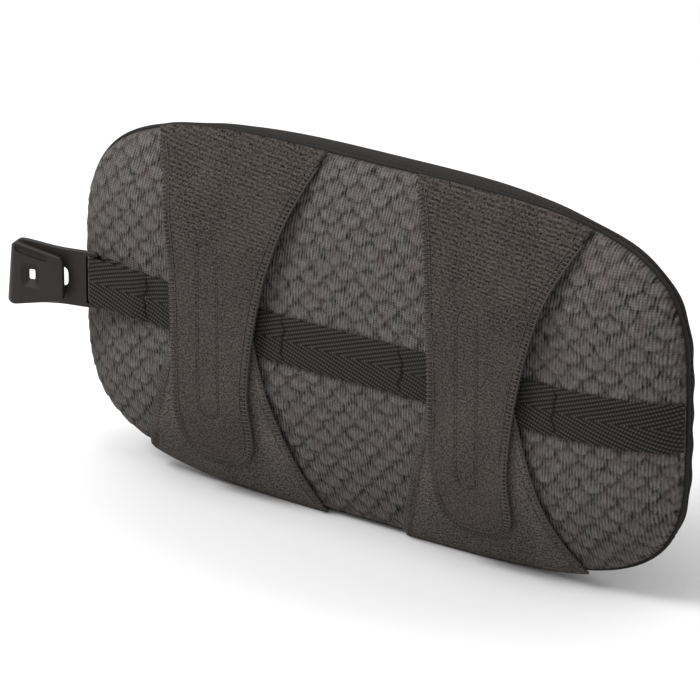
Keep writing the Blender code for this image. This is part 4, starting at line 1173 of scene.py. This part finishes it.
for name, rings in (("slot", slot), ("window", window), ("funnel", funnel), ("pocket", pocket)):
    cutters.append(right_way_out(capped_tube(name + "_cutter", rings)))
cut_out(hook, cutters)

turn = np.linspace(0, 2 * np.pi, 24, endpoint=False)
level = np.linspace(-ARM_INNER - 1 * MM, ARM_INNER + 1 * MM, 3)
bar = BAR_RADIUS * np.stack([np.cos(turn), np.sin(turn), 0 * turn], axis=-1)
bar = bar + level[:, None, None] * np.array([0, 0, 1])
crossbar = right_way_out(capped_tube("crossbar", bar))
across, up = np.meshgrid(np.linspace(-1, 1, 150), np.linspace(-1, 1, 34))
shape = np.maximum(np.abs(across) ** 4 + np.abs(up) ** 4, 1e-9) ** 0.25
square = np.maximum(np.abs(across), np.abs(up))
x = across / shape * square * POCKET_HALF[0] * 0.99
z = up / shape * square * POCKET_HALF[1] * 0.99
stipple = np.cos(2 * np.pi * x / STIPPLE_PITCH) * np.cos(2 * np.pi * z / STIPPLE_PITCH)
stipple = STIPPLE_HEIGHT * stipple * (square < 0.95)        # the rim stays plain
lining = grid_piece("pocket_lining", np.stack([
    x + POCKET_MIDDLE[0],
    TAB_FACE + POCKET_DEPTH - LINING_PROUD - stipple,
    z + POCKET_MIDDLE[1] + POCKET_SLOPE * x,
], axis=-1))
lining.data.polygons.foreach_set("material_index", np.ones(len(lining.data.polygons), np.int32))

whole = bmesh.new()
for part in (hook, crossbar, lining):
    whole.from_mesh(part.data)
whole.to_mesh(hook.data)
whole.free()
for part in (crossbar, lining):
    bpy.data.objects.remove(part)
hook.data.polygons.foreach_set("use_smooth", np.ones(len(hook.data.polygons), bool))
hook.data.set_sharp_from_angle(angle=np.radians(32))
hook.data.transform(Matrix.Translation((BAR_X, BAR_Y, STRAP_LIFT)) @ Matrix.Rotation(BUCKLE_ANGLE, 4, "Z"))

moulding_finish = grained_finish(
    "moulded_plastic", (0.012, 0.0105, 0.010), 0.46, low=(0.0074, 0.0053, 0.0043),
    high=(0.0122, 0.0092, 0.0076), depth=0.10 * MM, grains=2200, detail=2.0, contrast=1.5,
    Specular_IOR_Level=0.24)
stipple_finish = grained_finish(
    "moulded_stipple", (0.017, 0.0135, 0.0125), 0.6, low=(0.008, 0.0065, 0.006),
    high=(0.032, 0.026, 0.024), depth=0.2 * MM, grains=1500, detail=2.0, contrast=3.0,
    Specular_IOR_Level=0.25)
hook.data.materials.clear()
hook.data.materials.append(moulding_finish)
hook.data.materials.append(stipple_finish)
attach(hook, "buckle")
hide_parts("hook_buckle")
